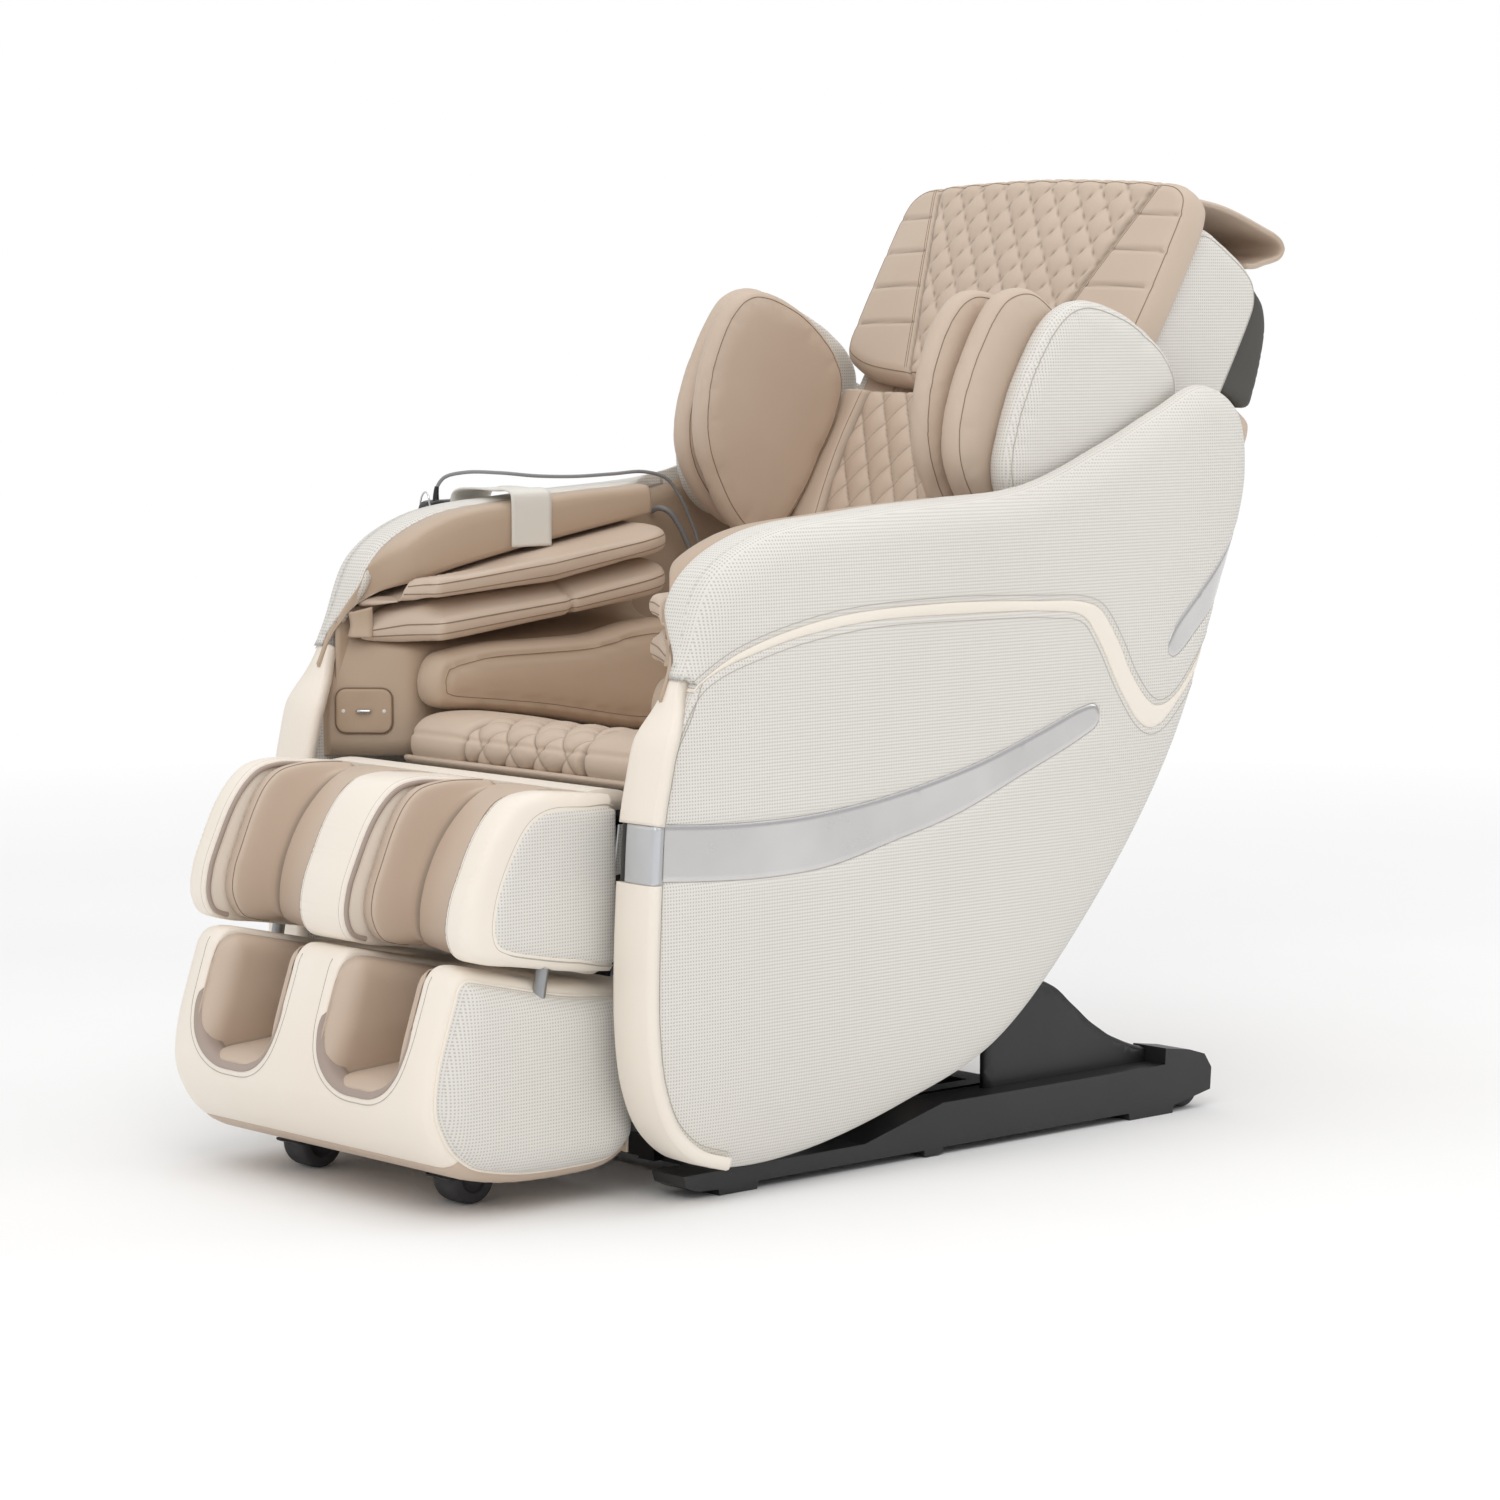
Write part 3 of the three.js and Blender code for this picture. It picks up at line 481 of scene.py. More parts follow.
def rounded(d, radius, power=2.0):
    """Rise of a rolled edge, 0 at the edge and 1 from radius inwards."""
    t = 1 - np.clip(d / radius, 0, 1)
    return (1 - t ** power) ** (1 / power)


def inset(loop, by):
    """A closed loop drawn inwards."""
    n = outward(loop, True)
    sign = 1 if inside(loop[:1] + n[:1] * 1e-4, loop)[0] else -1
    return loop + sign * n * by


def triangles(loops, spacing, rings, lines=()):
    """Triangulates the plane inside loops, with finer rows beside every loop and line."""
    fixed = [(line, True) for line in loops] + [(line, False) for line in lines]
    seeds, edges, count = [], [], 0
    for line, closed in fixed:
        n = len(line)
        seeds.append(line)
        last = n if closed else n - 1
        edges += [(count + i, count + (i + 1) % n) for i in range(last)]
        count += n
    near = []
    for line, closed in fixed:
        normal = outward(line, closed)
        for d in rings:
            near += [line + normal * d, line - normal * d]
    near = np.vstack(near)
    outer = loops[0]
    low, high = outer.min(0), outer.max(0)
    row = np.arange(low[0], high[0], spacing)
    mesh = np.vstack([np.stack([row + (i % 2) * spacing / 2, np.full(len(row), r)], axis=1)
                      for i, r in enumerate(np.arange(low[1], high[1], spacing * 0.866))])

    def away(points):
        return np.min([distance(points, line, closed) for line, closed in fixed], axis=0)

    near = near[inside(near, outer)]
    near = near[away(near) > rings[0] * 0.8]
    mesh = mesh[inside(mesh, outer)]
    mesh = mesh[away(mesh) > rings[-1] + spacing * 0.45]
    keep = np.ones(len(near), bool)
    taken = set()
    for i, p in enumerate(near):
        cell = (round(p[0] / (spacing * 0.22)), round(p[1] / (spacing * 0.22)))
        keep[i] = cell not in taken
        taken.add(cell)
    points = np.vstack(seeds + [near[keep], mesh])
    out = delaunay_2d_cdt([Vector(p) for p in points], edges, [], 0, 1e-6)
    where = np.array([tuple(v) for v in out[0]])
    faces = np.array([f for f in out[2] if len(f) == 3])
    return where, faces[inside(where[faces].mean(1), outer)]


def region(where, faces):
    """Only the points that the faces use, with the edges that bound them."""
    used, flat = np.unique(faces, return_inverse=True)
    faces = flat.reshape(faces.shape)
    edges = np.vstack([faces[:, [0, 1]], faces[:, [1, 2]], faces[:, [2, 0]]])
    keys = np.sort(edges, axis=1)
    _, index, count = np.unique(keys, axis=0, return_index=True, return_counts=True)
    return where[used], faces, edges[index[count == 1]]


def solid_between(front, back, faces, rim):
    """Closed part from two facing skins over the same triangles."""
    n = len(front)
    sides = [(b, a, a + n, b + n) for a, b in rim]
    return np.vstack([front, back]), [tuple(f) for f in faces] + [tuple(f[::-1] + n) for f in faces] + sides


def joined(name, parts, material, body):
    """One piece from several (points, faces) parts, with faces turned outwards."""
    points, faces, first = [], [], 0
    for p, f in parts:
        points.append(np.asarray(p).reshape(-1, 3))
        faces += [tuple(int(i) + first for i in g) for g in f]
        first += len(points[-1])
    piece = add_mesh(name, np.vstack(points), faces, material, body)
    turn_out(piece)
    return piece


def turn_out(piece):
    """Merges the points that parts share and turns every face outwards."""
    bm = bmesh.new()
    bm.from_mesh(piece.data)
    bmesh.ops.remove_doubles(bm, verts=bm.verts, dist=1e-6)
    bmesh.ops.dissolve_degenerate(bm, edges=bm.edges, dist=1e-7)
    bmesh.ops.recalc_face_normals(bm, faces=bm.faces)
    bm.to_mesh(piece.data)
    bm.free()
    piece.data.polygons.foreach_set("use_smooth", np.ones(len(piece.data.polygons), bool))


def mesh_inside(loop, spacing, radius, shares):
    """Triangles inside a closed outline, their rim edges, and each point's distance from the outline."""
    where, faces, rim = region(*triangles([loop], spacing, [radius * k for k in shares]))
    d = distance(where, loop, True)
    d[d < 1e-7] = 0
    return where, faces, rim, d


def pad(name, loop, place, up, down, radius, material, body, spacing=0.009, power=2.0, crown=0.0,
        shape=None):
    """A padded piece over a closed outline: its skins meet at the rim and swell to up and down."""
    where, faces, rim, d = mesh_inside(loop, spacing, radius, PAD_ROWS)
    rise = rounded(d, radius, power)
    swell = rise + crown * step_up(d, 0, d.max())
    extra = shape(where, d) if shape else 0
    front = place(where, up * swell + extra * rise)
    back = place(where, -down * swell)
    return joined(name, [solid_between(front, back, faces, rim)], material, body)


def slab(loop, low, high, r_low, r_high, place=lambda x, p: np.column_stack([x, p])):
    """Part: a closed outline (y, z) from x = low to x = high with rolled edges."""
    where, faces, rim, d = mesh_inside(loop, 0.014, max(r_low, r_high), SLAB_ROWS)
    front = place(high - r_high * (1 - rounded(d, r_high)), where)
    back = place(low + r_low * (1 - rounded(d, r_low)), where)
    return solid_between(front, back, faces, rim)


def inflate(piece, cap):
    """Swells a closed piece as cloth under air pressure. No point moves further than cap."""
    scene = bpy.context.scene
    mesh = piece.data
    rest = np.empty(len(mesh.vertices) * 3)
    mesh.vertices.foreach_get("co", rest)
    rest = rest.reshape(-1, 3)
    cloth = piece.modifiers.new("puff", "CLOTH")
    cloth.settings.quality = 4
    cloth.settings.use_pressure = True
    cloth.settings.uniform_pressure_force = 4.0
    cloth.settings.tension_stiffness = 12.0
    cloth.settings.compression_stiffness = 12.0
    cloth.settings.bending_stiffness = 0.8
    cloth.settings.effector_weights.gravity = 0
    cloth.collision_settings.use_collision = False
    for f in range(1, 21):
        scene.frame_set(f)
    done = piece.evaluated_get(bpy.context.evaluated_depsgraph_get()).to_mesh()
    moved = np.empty(len(done.vertices) * 3)
    done.vertices.foreach_get("co", moved)
    shift = moved.reshape(-1, 3) - rest
    length = np.maximum(np.linalg.norm(shift, axis=1), 1e-12)
    shift *= (cap * np.tanh(length / cap) / length)[:, None]
    piece.modifiers.remove(cloth)
    mesh.vertices.foreach_set("co", (rest + shift).ravel())
    mesh.update()
    scene.frame_set(1)


def surface(piece):
    """The piece's skin as it stands, ready for rays."""
    return BVHTree.FromObject(piece, bpy.context.evaluated_depsgraph_get())


def lifted(hit, normal):
    """A point just clear of the surface, where a thread lies."""
    return np.array(hit) + np.array(normal) * 0.0001


def stitch(name, piece, origins, directions, body, radius=0.0006, material=THREAD, closed=False):
    """A sewn thread where lines sent from the origins meet the piece."""
    tree = surface(piece)
    path = []
    for origin, direction in zip(origins, np.broadcast_to(directions, np.shape(origins))):
        hit, normal, _, _ = tree.ray_cast(Vector(origin), Vector(direction).normalized())
        if hit is not None:
            path.append(lifted(hit, normal))
    return tube(name, path, radius, material, body, sides=6, closed=closed)


def opened(ring, gap=0.02):
    """A ring that was cut, as one run that starts after its widest gap."""
    steps = np.linalg.norm(np.diff(ring, axis=0), axis=1)
    start = int(np.argmax(steps)) + 1
    return np.vstack([ring[start:], ring[:start]]) if steps.max() > gap else ring


# ------------------------------------------------------------------ leads
REMOTE_CORD = mm([
    [-400, -232, 825.5], [-399.4, -231.2, 840], [-393, -223, 855], [-376, -200, 862],
    [-352, -160, 861], [-335, -110, 856], [-325, -50, 854], [-316, 10, 856], [-306, 60, 858],
    [-296, 92, 848], [-290, 112, 822], [-288, 128, 792], [-288, 142, 762], [-290, 152, 728],
    [-298, 154, 694], [-314, 150, 669], [-335, 148, 661]])
ARM_HOSE = mm([
    [-334, 96, 801], [-321, 98, 806], [-308, 106, 802], [-302, 120, 782], [-302, 138, 752],
    [-304, 158, 716], [-308, 174, 684], [-318, 184, 662], [-334, 188, 652]])


def add_leads():
    """The remote's lead and the arm's air hose."""
    for name, node, route, diameter, count in (
            ("remote_lead", "remote_cord", REMOTE_CORD, 0.005, 170),
            ("air_hose", "arm_hose", ARM_HOSE, 0.008, 60)):
        line = smooth(route, count)
        lead = tube(name, line, diameter / 2, JACKET, "seat_body", sides=12)
        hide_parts(node)
        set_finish(lead, "cord_grey")


# ------------------------------------------------------------------ arms: the outer faces
ARM = smooth(mm([
    [-457, 60], [-380, 38], [-256, 42], [-82, 81], [86, 143], [273, 314], [411, 500],
    [498, 697], [552, 857], [535, 950], [470, 982], [382, 950], [277, 906], [130, 857],
    [-138, 834], [-330, 810], [-419, 758], [-458, 665], [-501, 569], [-526, 405],
    [-531, 250], [-515, 130]]), 420, closed=True)
BAND_TOP = smooth(mm([
    [-560, 560], [-473, 612], [-440, 640], [-379, 673], [-238, 706], [-42, 716], [130, 711],
    [215, 706], [246, 695], [280, 653], [309, 604], [343, 569], [365, 562], [401, 574], [470, 640],
    [560, 745]]), 230)
BAND_BOTTOM = smooth(mm([
    [-560, 470], [-513, 511], [-488, 568], [-450, 629], [-413, 652], [-350, 672], [-280, 687],
    [-162, 700], [-1, 701], [150, 697], [215, 687], [244, 655], [286, 587], [320, 546],
    [343, 534], [368, 537], [420, 575], [490, 642], [570, 730]]), 230)
SWORD = smooth(mm([
    [-560, 480], [-523, 475], [-409, 467], [-271, 467], [-126, 482], [22, 511], [137, 545],
    [215, 570], [238, 572], [247, 561], [243, 545], [215, 530], [99, 487], [-15, 447],
    [-126, 422], [-236, 400], [-341, 395], [-443, 399], [-523, 404], [-560, 404]]), 220, closed=True)
REAR_TRIM = smooth(mm([
    [560, 822], [518, 782], [481, 746], [439, 707], [392, 664], [381, 644], [383, 628], [395, 625],
    [411, 633], [449, 664], [487, 696], [530, 738], [560, 770]]), 90, closed=True)
FRONT = smooth(mm([
    [-403, 41], [-457, 60], [-497, 96], [-521, 150], [-531, 218], [-532, 293], [-527, 405],
    [-522, 475], [-512, 524], [-500, 569], [-478, 608], [-462, 645]]), 130)
STRIP = 0.016
FRONT_IN = FRONT + outward(FRONT) * STRIP
SEAM_REACH = 0.009
SEAM_DROP = 0.0028


def arm_x(where):
    """The bulged outer face of an arm: x over (y, z)."""
    d = distance(where, ARM, True)
    y, z = where[:, 0], where[:, 1]
    upper = step_up(z, 0.60, 0.76)
    behind = step_up(y, -0.52, -0.32)
    wide = mix(0.010, mix(0.020, 0.008, upper), behind)
    roll = mix(0.016, 0.030, upper)
    reach = mix(0.022, 0.042, upper)
    drop = wide * (1 - np.clip(d / 0.17, 0, 1)) ** 3
    return SIDE_X - drop - roll * (1 - rounded(d, reach))


def seam_drop(where, lines, reach=SEAM_REACH, drop=SEAM_DROP):
    """How far sewn lines pull the surface in beside them."""
    d = np.min([distance(where, l, c) for l, c in lines], axis=0)
    return drop * (1 - np.clip(d / reach, 0, 1)) ** 2


def add_arm_faces():
    """The outer panels, ivory bands and silver trim of the arms, with their threads."""
    where, faces = triangles([ARM, SWORD, REAR_TRIM], 0.012, [0.0016, 0.0042, 0.008],
                             [BAND_TOP, BAND_BOTTOM, FRONT_IN])
    centre = where[faces].mean(1)
    top = np.interp(centre[:, 0], BAND_TOP[:, 0], BAND_TOP[:, 1])
    bottom = np.interp(centre[:, 0], BAND_BOTTOM[:, 0], BAND_BOTTOM[:, 1])
    strip = inside(centre, np.vstack([FRONT + outward(FRONT) * -0.03, FRONT_IN[::-1]]))
    sword = inside(centre, SWORD) & ~strip
    rear = inside(centre, REAR_TRIM)
    metal = sword | rear
    cloth = ~metal & ~strip
    above = (centre[:, 1] > top) & cloth
    band = (centre[:, 1] <= top) & (centre[:, 1] > bottom) & cloth
    below = (centre[:, 1] <= bottom) & cloth

    def face_part(chosen, lines, reach=SEAM_REACH, drop=SEAM_DROP, sunk=0.0):
        p, f, rim = region(where, faces[chosen])
        x = np.maximum(arm_x(p) - seam_drop(p, lines, reach, drop) - sunk, SHELL_X + 0.0008)
        return solid_between(np.column_stack([x, p]), np.column_stack([np.full(len(p), SHELL_X), p]), f, rim)

    for name, parts, material, slot, node in (
            ("upper_panel_left", [face_part(above, [(BAND_TOP, False), (REAR_TRIM, True)]), cap_part()],
             PERFORATED, "perforated_leather", "arm_panel"),
            ("lower_panel_left", [face_part(below, [(BAND_BOTTOM, False), (SWORD, True), (FRONT_IN, False)])],
             PERFORATED, "perforated_leather", "side_panel"),
            ("ivory_band_left", [face_part(band, [(BAND_TOP, False), (BAND_BOTTOM, False)], 0.006, 0.002),
                                 bar_part(0.0412, 0.4012), bar_part(0.4728, 0.66)],
             IVORY, "ivory_leather", "accent_band"),
            ("sword_trim_left", [face_part(metal, [(SWORD, True), (REAR_TRIM, True)], 0.004, 0.0016, 0.0012)],
             SILVER, "silver", "silver_trim"),
            ("trim_tab_left", [bar_part(0.4018, 0.4722, 0.331, 0.3835, 0.001, 0.003)],
             PALE_SILVER, "silver", None),
            # a recessed black bar in the gap beside the tab: painted shade in the gap
            ("trim_gap_left", [bar_part(0.4018, 0.4722, BAND_X, 0.3306, 0.009, 0.001)],
             GLOSS, "base_black", None)):
        pair(joined(name, parts, material, "seat_body"), "seat_body", slot, node)
    for name, line, offset, keep in (
            ("band_stitch_left", BAND_BOTTOM, 0.0085, lambda p: p[:, 0] > -0.50),
            ("top_stitch_left", BAND_TOP, -0.0075, lambda p: p[:, 0] > -0.46),
            ("front_stitch_left", FRONT_IN, 0.0065, lambda p: p[:, 1] > 0.05)):
        path = line + outward(line) * offset
        path = path[keep(path) & inside(path, ARM) & (distance(path, ARM, True) > 0.006)]
        path = path[~inside(path, SWORD) & ~inside(path, REAR_TRIM)] if name != "front_stitch_left" else path
        runs = np.split(path, np.nonzero(np.linalg.norm(np.diff(path, axis=0), axis=1) > 0.03)[0] + 1)
        for i, run in enumerate(r for r in runs if len(r) > 6):
            if name == "front_stitch_left":
                run = run[~inside(run, SWORD)] if i else run
            x = arm_x(run) - seam_drop(run, [(line, False)])
            thread = tube(name if i == 0 else name.replace("_left", f"{i}_left"),
                          np.column_stack([x, run]), 0.0005, PALE_THREAD, "seat_body", sides=5)
            twin(thread, "seat_body")


def cap_part():
    """The roll over the arm's top, from the outer face to the tan lip."""
    run = ARM[(ARM[:, 1] > 0.655) & (ARM[:, 0] < 0.125)]
    run = run[np.argsort(run[:, 0])]
    inward = outward(run)
    middle = len(run) // 2
    if not inside(run[middle:middle + 1] + inward[middle] * 0.01, ARM)[0]:
        inward = -inward
    edge = arm_x(run)
    inner = mix(CAP_X, SHELL_X - 0.001, step_up(run[:, 0], CAP_END - 0.01, 0.10))
    inner = np.maximum(inner, mix(SHELL_X, CAP_X, step_up(run[:, 0], -0.462, -0.435)))
    rows = []
    for across, deep in ((0.0, 0.0), (0.25, -0.0006), (0.6, -0.0008), (0.85, 0.0002), (0.95, 0.0016),
                         (1.0, 0.0045), (1.0, 0.014), (0.8, 0.018), (0.0, 0.018)):
        rows.append(np.column_stack([mix(edge, inner, across), run + inward * deep]))
    return swept(rows)


def bar_part(low, high, x_low=BAND_X, x_high=0.3842, deep=0.0, corner=0.006):
    """A rounded bar that follows the arm's front edge from z = low to z = high."""
    run = FRONT[(FRONT[:, 1] > low) & (FRONT[:, 1] < high)]
    top_in, top_out = max(x_low, 0.337), min(x_high, 0.361)
    ends = [np.array([np.interp(z, FRONT[:, 1], FRONT[:, 0]), z]) for z in (low, high) if z < FRONT[-1, 1]]
    run = np.vstack([ends[0]] + [run] + ends[1:]) if low > FRONT[0, 1] else run
    inward = outward(run)
    c = corner
    profile = [(x_low, STRIP), (x_low, deep + c), (x_low + c * 0.3, deep + c * 0.3), (x_low + c, deep),
               ((x_low + x_high) / 2, deep - 0.0012), (x_high - c, deep), (x_high - c * 0.3, deep + c * 0.3),
               (x_high, deep + c), (x_high, STRIP)]
    thin = step_up(run[:, 1], 0.565, 0.645)
    rows = []
    for x, d in profile:
        share = (x - x_low) / (x_high - x_low)
        rows.append(np.column_stack([mix(x, mix(top_in, top_out, share), thin), run + inward * d]))
    return swept(rows)


# ------------------------------------------------------------------ arms: lining, lip and pads
LIP_BOTTOM = mm([[-446, 690], [-336, 734], [-200, 762], [34, 802], [80, 810]])


def height_at(y, line):
    """Height of a (y, z) line at y."""
    line = line[np.argsort(line[:, 0])]
    return np.interp(y, line[:, 0], line[:, 1])


ARM_TOP = ARM[(ARM[:, 1] > 0.60) & (ARM[:, 0] < 0.30)]
ARM_BOTTOM = ARM[(ARM[:, 1] < 0.655) & (ARM[:, 0] > -0.455)]
LIP_EDGE = smooth(mm([[-474, 612], [-462, 645], [-450, 672], [-438, 694], [-404, 714], [-336, 734],
                      [-200, 762], [34, 802]]), 130)


def lip_part():
    """The tan roll inside the arm's top edge, narrowing down the arm's front."""
    outer = ARM[(ARM[:, 1] > 0.622) & (ARM[:, 0] < CAP_END)]
    outer = spaced(outer[np.argsort(outer[:, 0])], 130)
    down = LIP_EDGE - outer
    deep = np.linalg.norm(down, axis=1)
    down = down / deep[:, None]
    y = outer[:, 0]
    start = mix(0.3435, CAP_X + 0.001, step_up(y, -0.462, -0.435))
    stop = mix(0.3385, LIP_X, step_up(y, -0.468, -0.385))
    rows = []
    for across, at, off in ((0, 0, 0.0030), (0.27, 0, 0.0022), (0.6, 0, 0.0024), (0.80, 0, 0.0036),
                            (0.91, 0, 0.0062), (0.975, 0, 0.0110), (1.0, 0.35, 0), (1.0, 0.6, 0),
                            (0.985, 0.86, 0), (0.93, 0.955, 0), (0.80, 0.995, 0), (0.4, 1, 0), (-0.4, 1, 0)):
        x = mix(start, stop, max(across, 0)) + (0.018 if across < 0 else 0) * step_up(y, -0.46, -0.42)
        rows.append(np.column_stack([x, outer + down * (deep * at + np.minimum(deep * 0.4, off))[:, None]]))
    return swept(rows)


def wall_part():
    """The tan lining against the inner face of the arm's shell."""
    y = np.linspace(-0.452, 0.475, 110)
    low = np.maximum(height_at(y, ARM_BOTTOM) + 0.012, 0.498)
    high = np.maximum(np.where(y < 0.12, height_at(y, ARM_TOP) - 0.02,
                               np.interp(y, [0.12, 0.3, 0.48], [0.835, 0.89, 0.955])), low + 0.004)
    x = mix(0.334, 0.3415, step_up(y, 0.0, 0.08))
    rows = [np.column_stack([x, y, mix(low, high, k)]) for k in np.linspace(0, 1, 16)]
    back = [np.column_stack([x + 0.0025, y, mix(low, high, k)]) for k in np.linspace(1, 0, 16)]
    return swept(rows + back)


POD_CENTRE = np.array([0.306, -0.428])
POD_Z = 0.557
POD_WIDTH = 0.076
POD_HEIGHT = 0.060


def block_part():
    """The arm's front chamfer beside the seat, turning over into a shelf under the forearm pads."""
    low = smooth(mm([[345, -466], [322, -443.5], [300, -421.5], [277, -399], [265, -384], [260.5, -366],
                     [260, -330], [260, -200], [260, 60]]), 110)
    high = smooth(mm([[345, -462], [338, -445], [334, -420], [334, -380], [334, -200], [334, 60]]), 110)
    low = spaced(np.vstack([mm([[345, -476], [349, -471.5], [347, -467]]), low]), 120)
    high = spaced(np.vstack([mm([[345, -476], [349, -471.5], [347, -466]]), high]), 120)
    levels = [(0.498, 0), (0.52, 0), (0.56, 0), (0.60, 0), (0.62, 0), (0.630, 0.004), (0.636, 0.02),
              (0.6405, 0.06), (0.644, 0.13), (0.6475, 0.3), (0.650, 0.55), (0.6525, 0.78), (0.657, 0.92),
              (0.664, 0.98), (0.672, 1)]
    rows = []
    for z, k in levels:
        plan = mix(low, high, k)
        tilt = 0.012 * k * step_up(plan[:, 1], -0.35, 0.0)
        if z < FRONT[-1, 1]:
            edge = np.interp(z, FRONT[60:, 1], FRONT[60:, 0])
        else:
            edge = np.interp(z, [0.612, 0.665, 0.72], [-0.473, -0.458, -0.438])
        shift = max(edge + 0.012 + 0.476, 0)
        plan = plan + np.column_stack([np.zeros(len(plan)), shift * (1 - step_up(plan[:, 1], -0.47, -0.40))])
        rows.append(np.column_stack([plan, np.full(len(plan), z) + tilt]))
    back = [np.column_stack([np.maximum(r[:, 0], 0.3405), r[:, 1], r[:, 2]]) for r in rows[::-1]]
    return swept(rows + back)


def add_arm_lining():
    """The tan skin inside the arms."""
    pair(joined("arm_lining_left", [lip_part(), wall_part(), block_part()], TAN_SHADED, "seat_body"),
         "seat_body", "tan_leather", "arm_liner")


def plan_loop(front_inner, front_outer, rear, inner=0.205, outer=0.322):
    """Plan outline (x, y) of a forearm pad: its front edge runs back from the outer side."""
    c = 0.020
    points = [[inner, front_inner + c], [inner + 0.15 * c, front_inner + 0.25 * c],
              [inner + c, front_inner - 0.2 * c], [(inner + outer) / 2, (front_inner + front_outer) / 2],
              [outer - c, front_outer + 0.005], [outer - 0.004, front_outer + 0.002],
              [outer, front_outer + 0.012], [outer, (front_outer + rear) / 2], [outer, rear - 1.6 * c],
              [outer - 0.4 * c, rear - 0.4 * c], [outer - 1.6 * c, rear],
              [inner + 2.4 * c, rear - 0.2 * c], [inner + 0.8 * c, rear - c], [inner, rear - 2.6 * c],
              [inner, (front_inner + rear) / 2]]
    return smooth(points, 200, closed=True)


UPPER_TOP = mm([[-440, 712], [-390, 733], [-180, 756], [30, 786], [50, 790]])
UPPER_UNDER = mm([[-440, 707], [-390, 704], [-181, 719], [34, 757], [50, 761]])
LOWER_TOP = mm([[-440, 660], [-400, 681], [-163, 701], [36, 734], [50, 736]])
LOWER_UNDER = mm([[-440, 650], [-400, 649], [-164, 674], [38, 702], [50, 704]])


def forearm_pad(name, loop, over, under, below_lip, split=None):
    """A flat cushion that fills the room above it towards the arm. split is the y of its cross seam."""
    def heights(y, x):
        high, low = height_at(y, over), height_at(y, under)
        room = height_at(y, LIP_BOTTOM) - 0.003 if below_lip else mix(high, height_at(y, UPPER_UNDER), 0.7)
        ends = step_up(y, -0.44, -0.36) * (1 - step_up(y, 0.0, 0.045))
        high = high + np.maximum(room - high, 0) * step_up(x, 0.212, 0.252) * ends
        if below_lip:
            high = high - step_up(x, 0.250, 0.262) * np.maximum(high - room, 0)
        return high, low

    def place(where, h):
        high, low = heights(where[:, 1], where[:, 0])
        half = (high - low) / 2
        z = (high + low) / 2 + h * half
        if split is not None:
            notch = np.exp(-((where[:, 1] - split) / 0.005) ** 2) * step_up(where[:, 0], 0.30, 0.215)
            z = z - h * half * 0.35 * notch
            where = where + np.column_stack([0.005 * notch, np.zeros(len(notch))])
        return np.column_stack([where, z])

    piece = pad(name, loop, place, 1.0, 1.0, 0.015, TAN, "seat_body", spacing=0.008, power=2.6)
    inflate(piece, 0.003)
    return piece


def side_seam(piece, edge, heights):
    """Points round a pad's narrow side where lines level with the heights meet it."""
    tree = surface(piece)
    path = []
    for p, q, h in zip(edge, outward(edge), heights):
        for sign in (1, -1):
            origin = Vector((p[0] + sign * q[0] * 0.05, p[1] + sign * q[1] * 0.05, h))
            hit, normal, _, dist = tree.ray_cast(origin, Vector((-sign * q[0], -sign * q[1], 0)), 0.07)
            if hit is not None and dist > 0.02 and (hit.xy - origin.xy).length < 0.065:
                path.append(lifted(hit, normal))
                break
    path = np.array(path)
    gaps = np.linalg.norm(np.diff(path, axis=0), axis=1)
    return path[:int(np.argmax(gaps > 0.03)) + 1] if (gaps > 0.03).any() else path


def add_forearm_pads():
    """Two air cushions in each arm, with seams along their narrow sides and a fold between."""
    upper_loop = plan_loop(-0.385, -0.432, 0.046)
    lower_loop = plan_loop(-0.383, -0.432, 0.044)
    upper = forearm_pad("forearm_pad_upper_left", upper_loop, UPPER_TOP, UPPER_UNDER, True)
    lower = forearm_pad("forearm_pad_lower_left", lower_loop, LOWER_TOP, LOWER_UNDER, False, split=-0.150)
    for piece, node, loop, over, under in ((upper, "arm_pad_upper", upper_loop, UPPER_TOP, UPPER_UNDER),
                                           (lower, "arm_pad_lower", lower_loop, LOWER_TOP, LOWER_UNDER)):
        pair(piece, "seat_body", "tan_leather", node)
        edge = opened(loop[(loop[:, 0] < 0.300) & (loop[:, 1] < 0.03)])
        low, high = height_at(edge[:, 1], under), height_at(edge[:, 1], over)
        for k, share in enumerate((0.72, 0.30)):
            path = spaced(side_seam(piece, edge, mix(low, high, share)), 110)
            twin(tube(f"{piece.name[:-5]}_seam{k}_left", path, 0.0009, THREAD, "seat_body", sides=6),
                 "seat_body")
    x = np.concatenate([np.linspace(0.292, 0.312, 8), np.full(24, 0.323)])
    y = np.concatenate([np.linspace(-0.424, -0.441, 8), np.linspace(-0.439, 0.03, 24)])
    line = smooth(np.column_stack([x, y]), 60)
    low = height_at(line[:, 1], LOWER_UNDER) + 0.004
    high = np.minimum(height_at(line[:, 1], UPPER_UNDER) + 0.008, height_at(line[:, 1], LIP_BOTTOM) - 0.004)
    fold = []
    for t in np.linspace(0, 1, 13):
        push = outward(line) * 0.004 * np.sin(t * math.pi)
        fold.append(np.column_stack([line - push, mix(low, np.maximum(high, low + 0.01), t)]))
    hinge = grid_piece("forearm_pad_fold_left", np.array(fold), TAN_SHADED, "seat_body", thickness=0.003)
    pair(hinge, "seat_body", "tan_leather")


HIP_LOOP = smooth(mm([[-388, 590], [-384, 612], [-372, 630], [-340, 640], [-284, 647], [-200, 648],
                      [-111, 650], [-40, 662], [20, 662], [42, 650], [48, 600], [48, 540], [38, 511],
                      [0, 509], [-41, 511], [-199, 538], [-300, 551], [-360, 559],
                      [-380, 568]]), 220, closed=True)


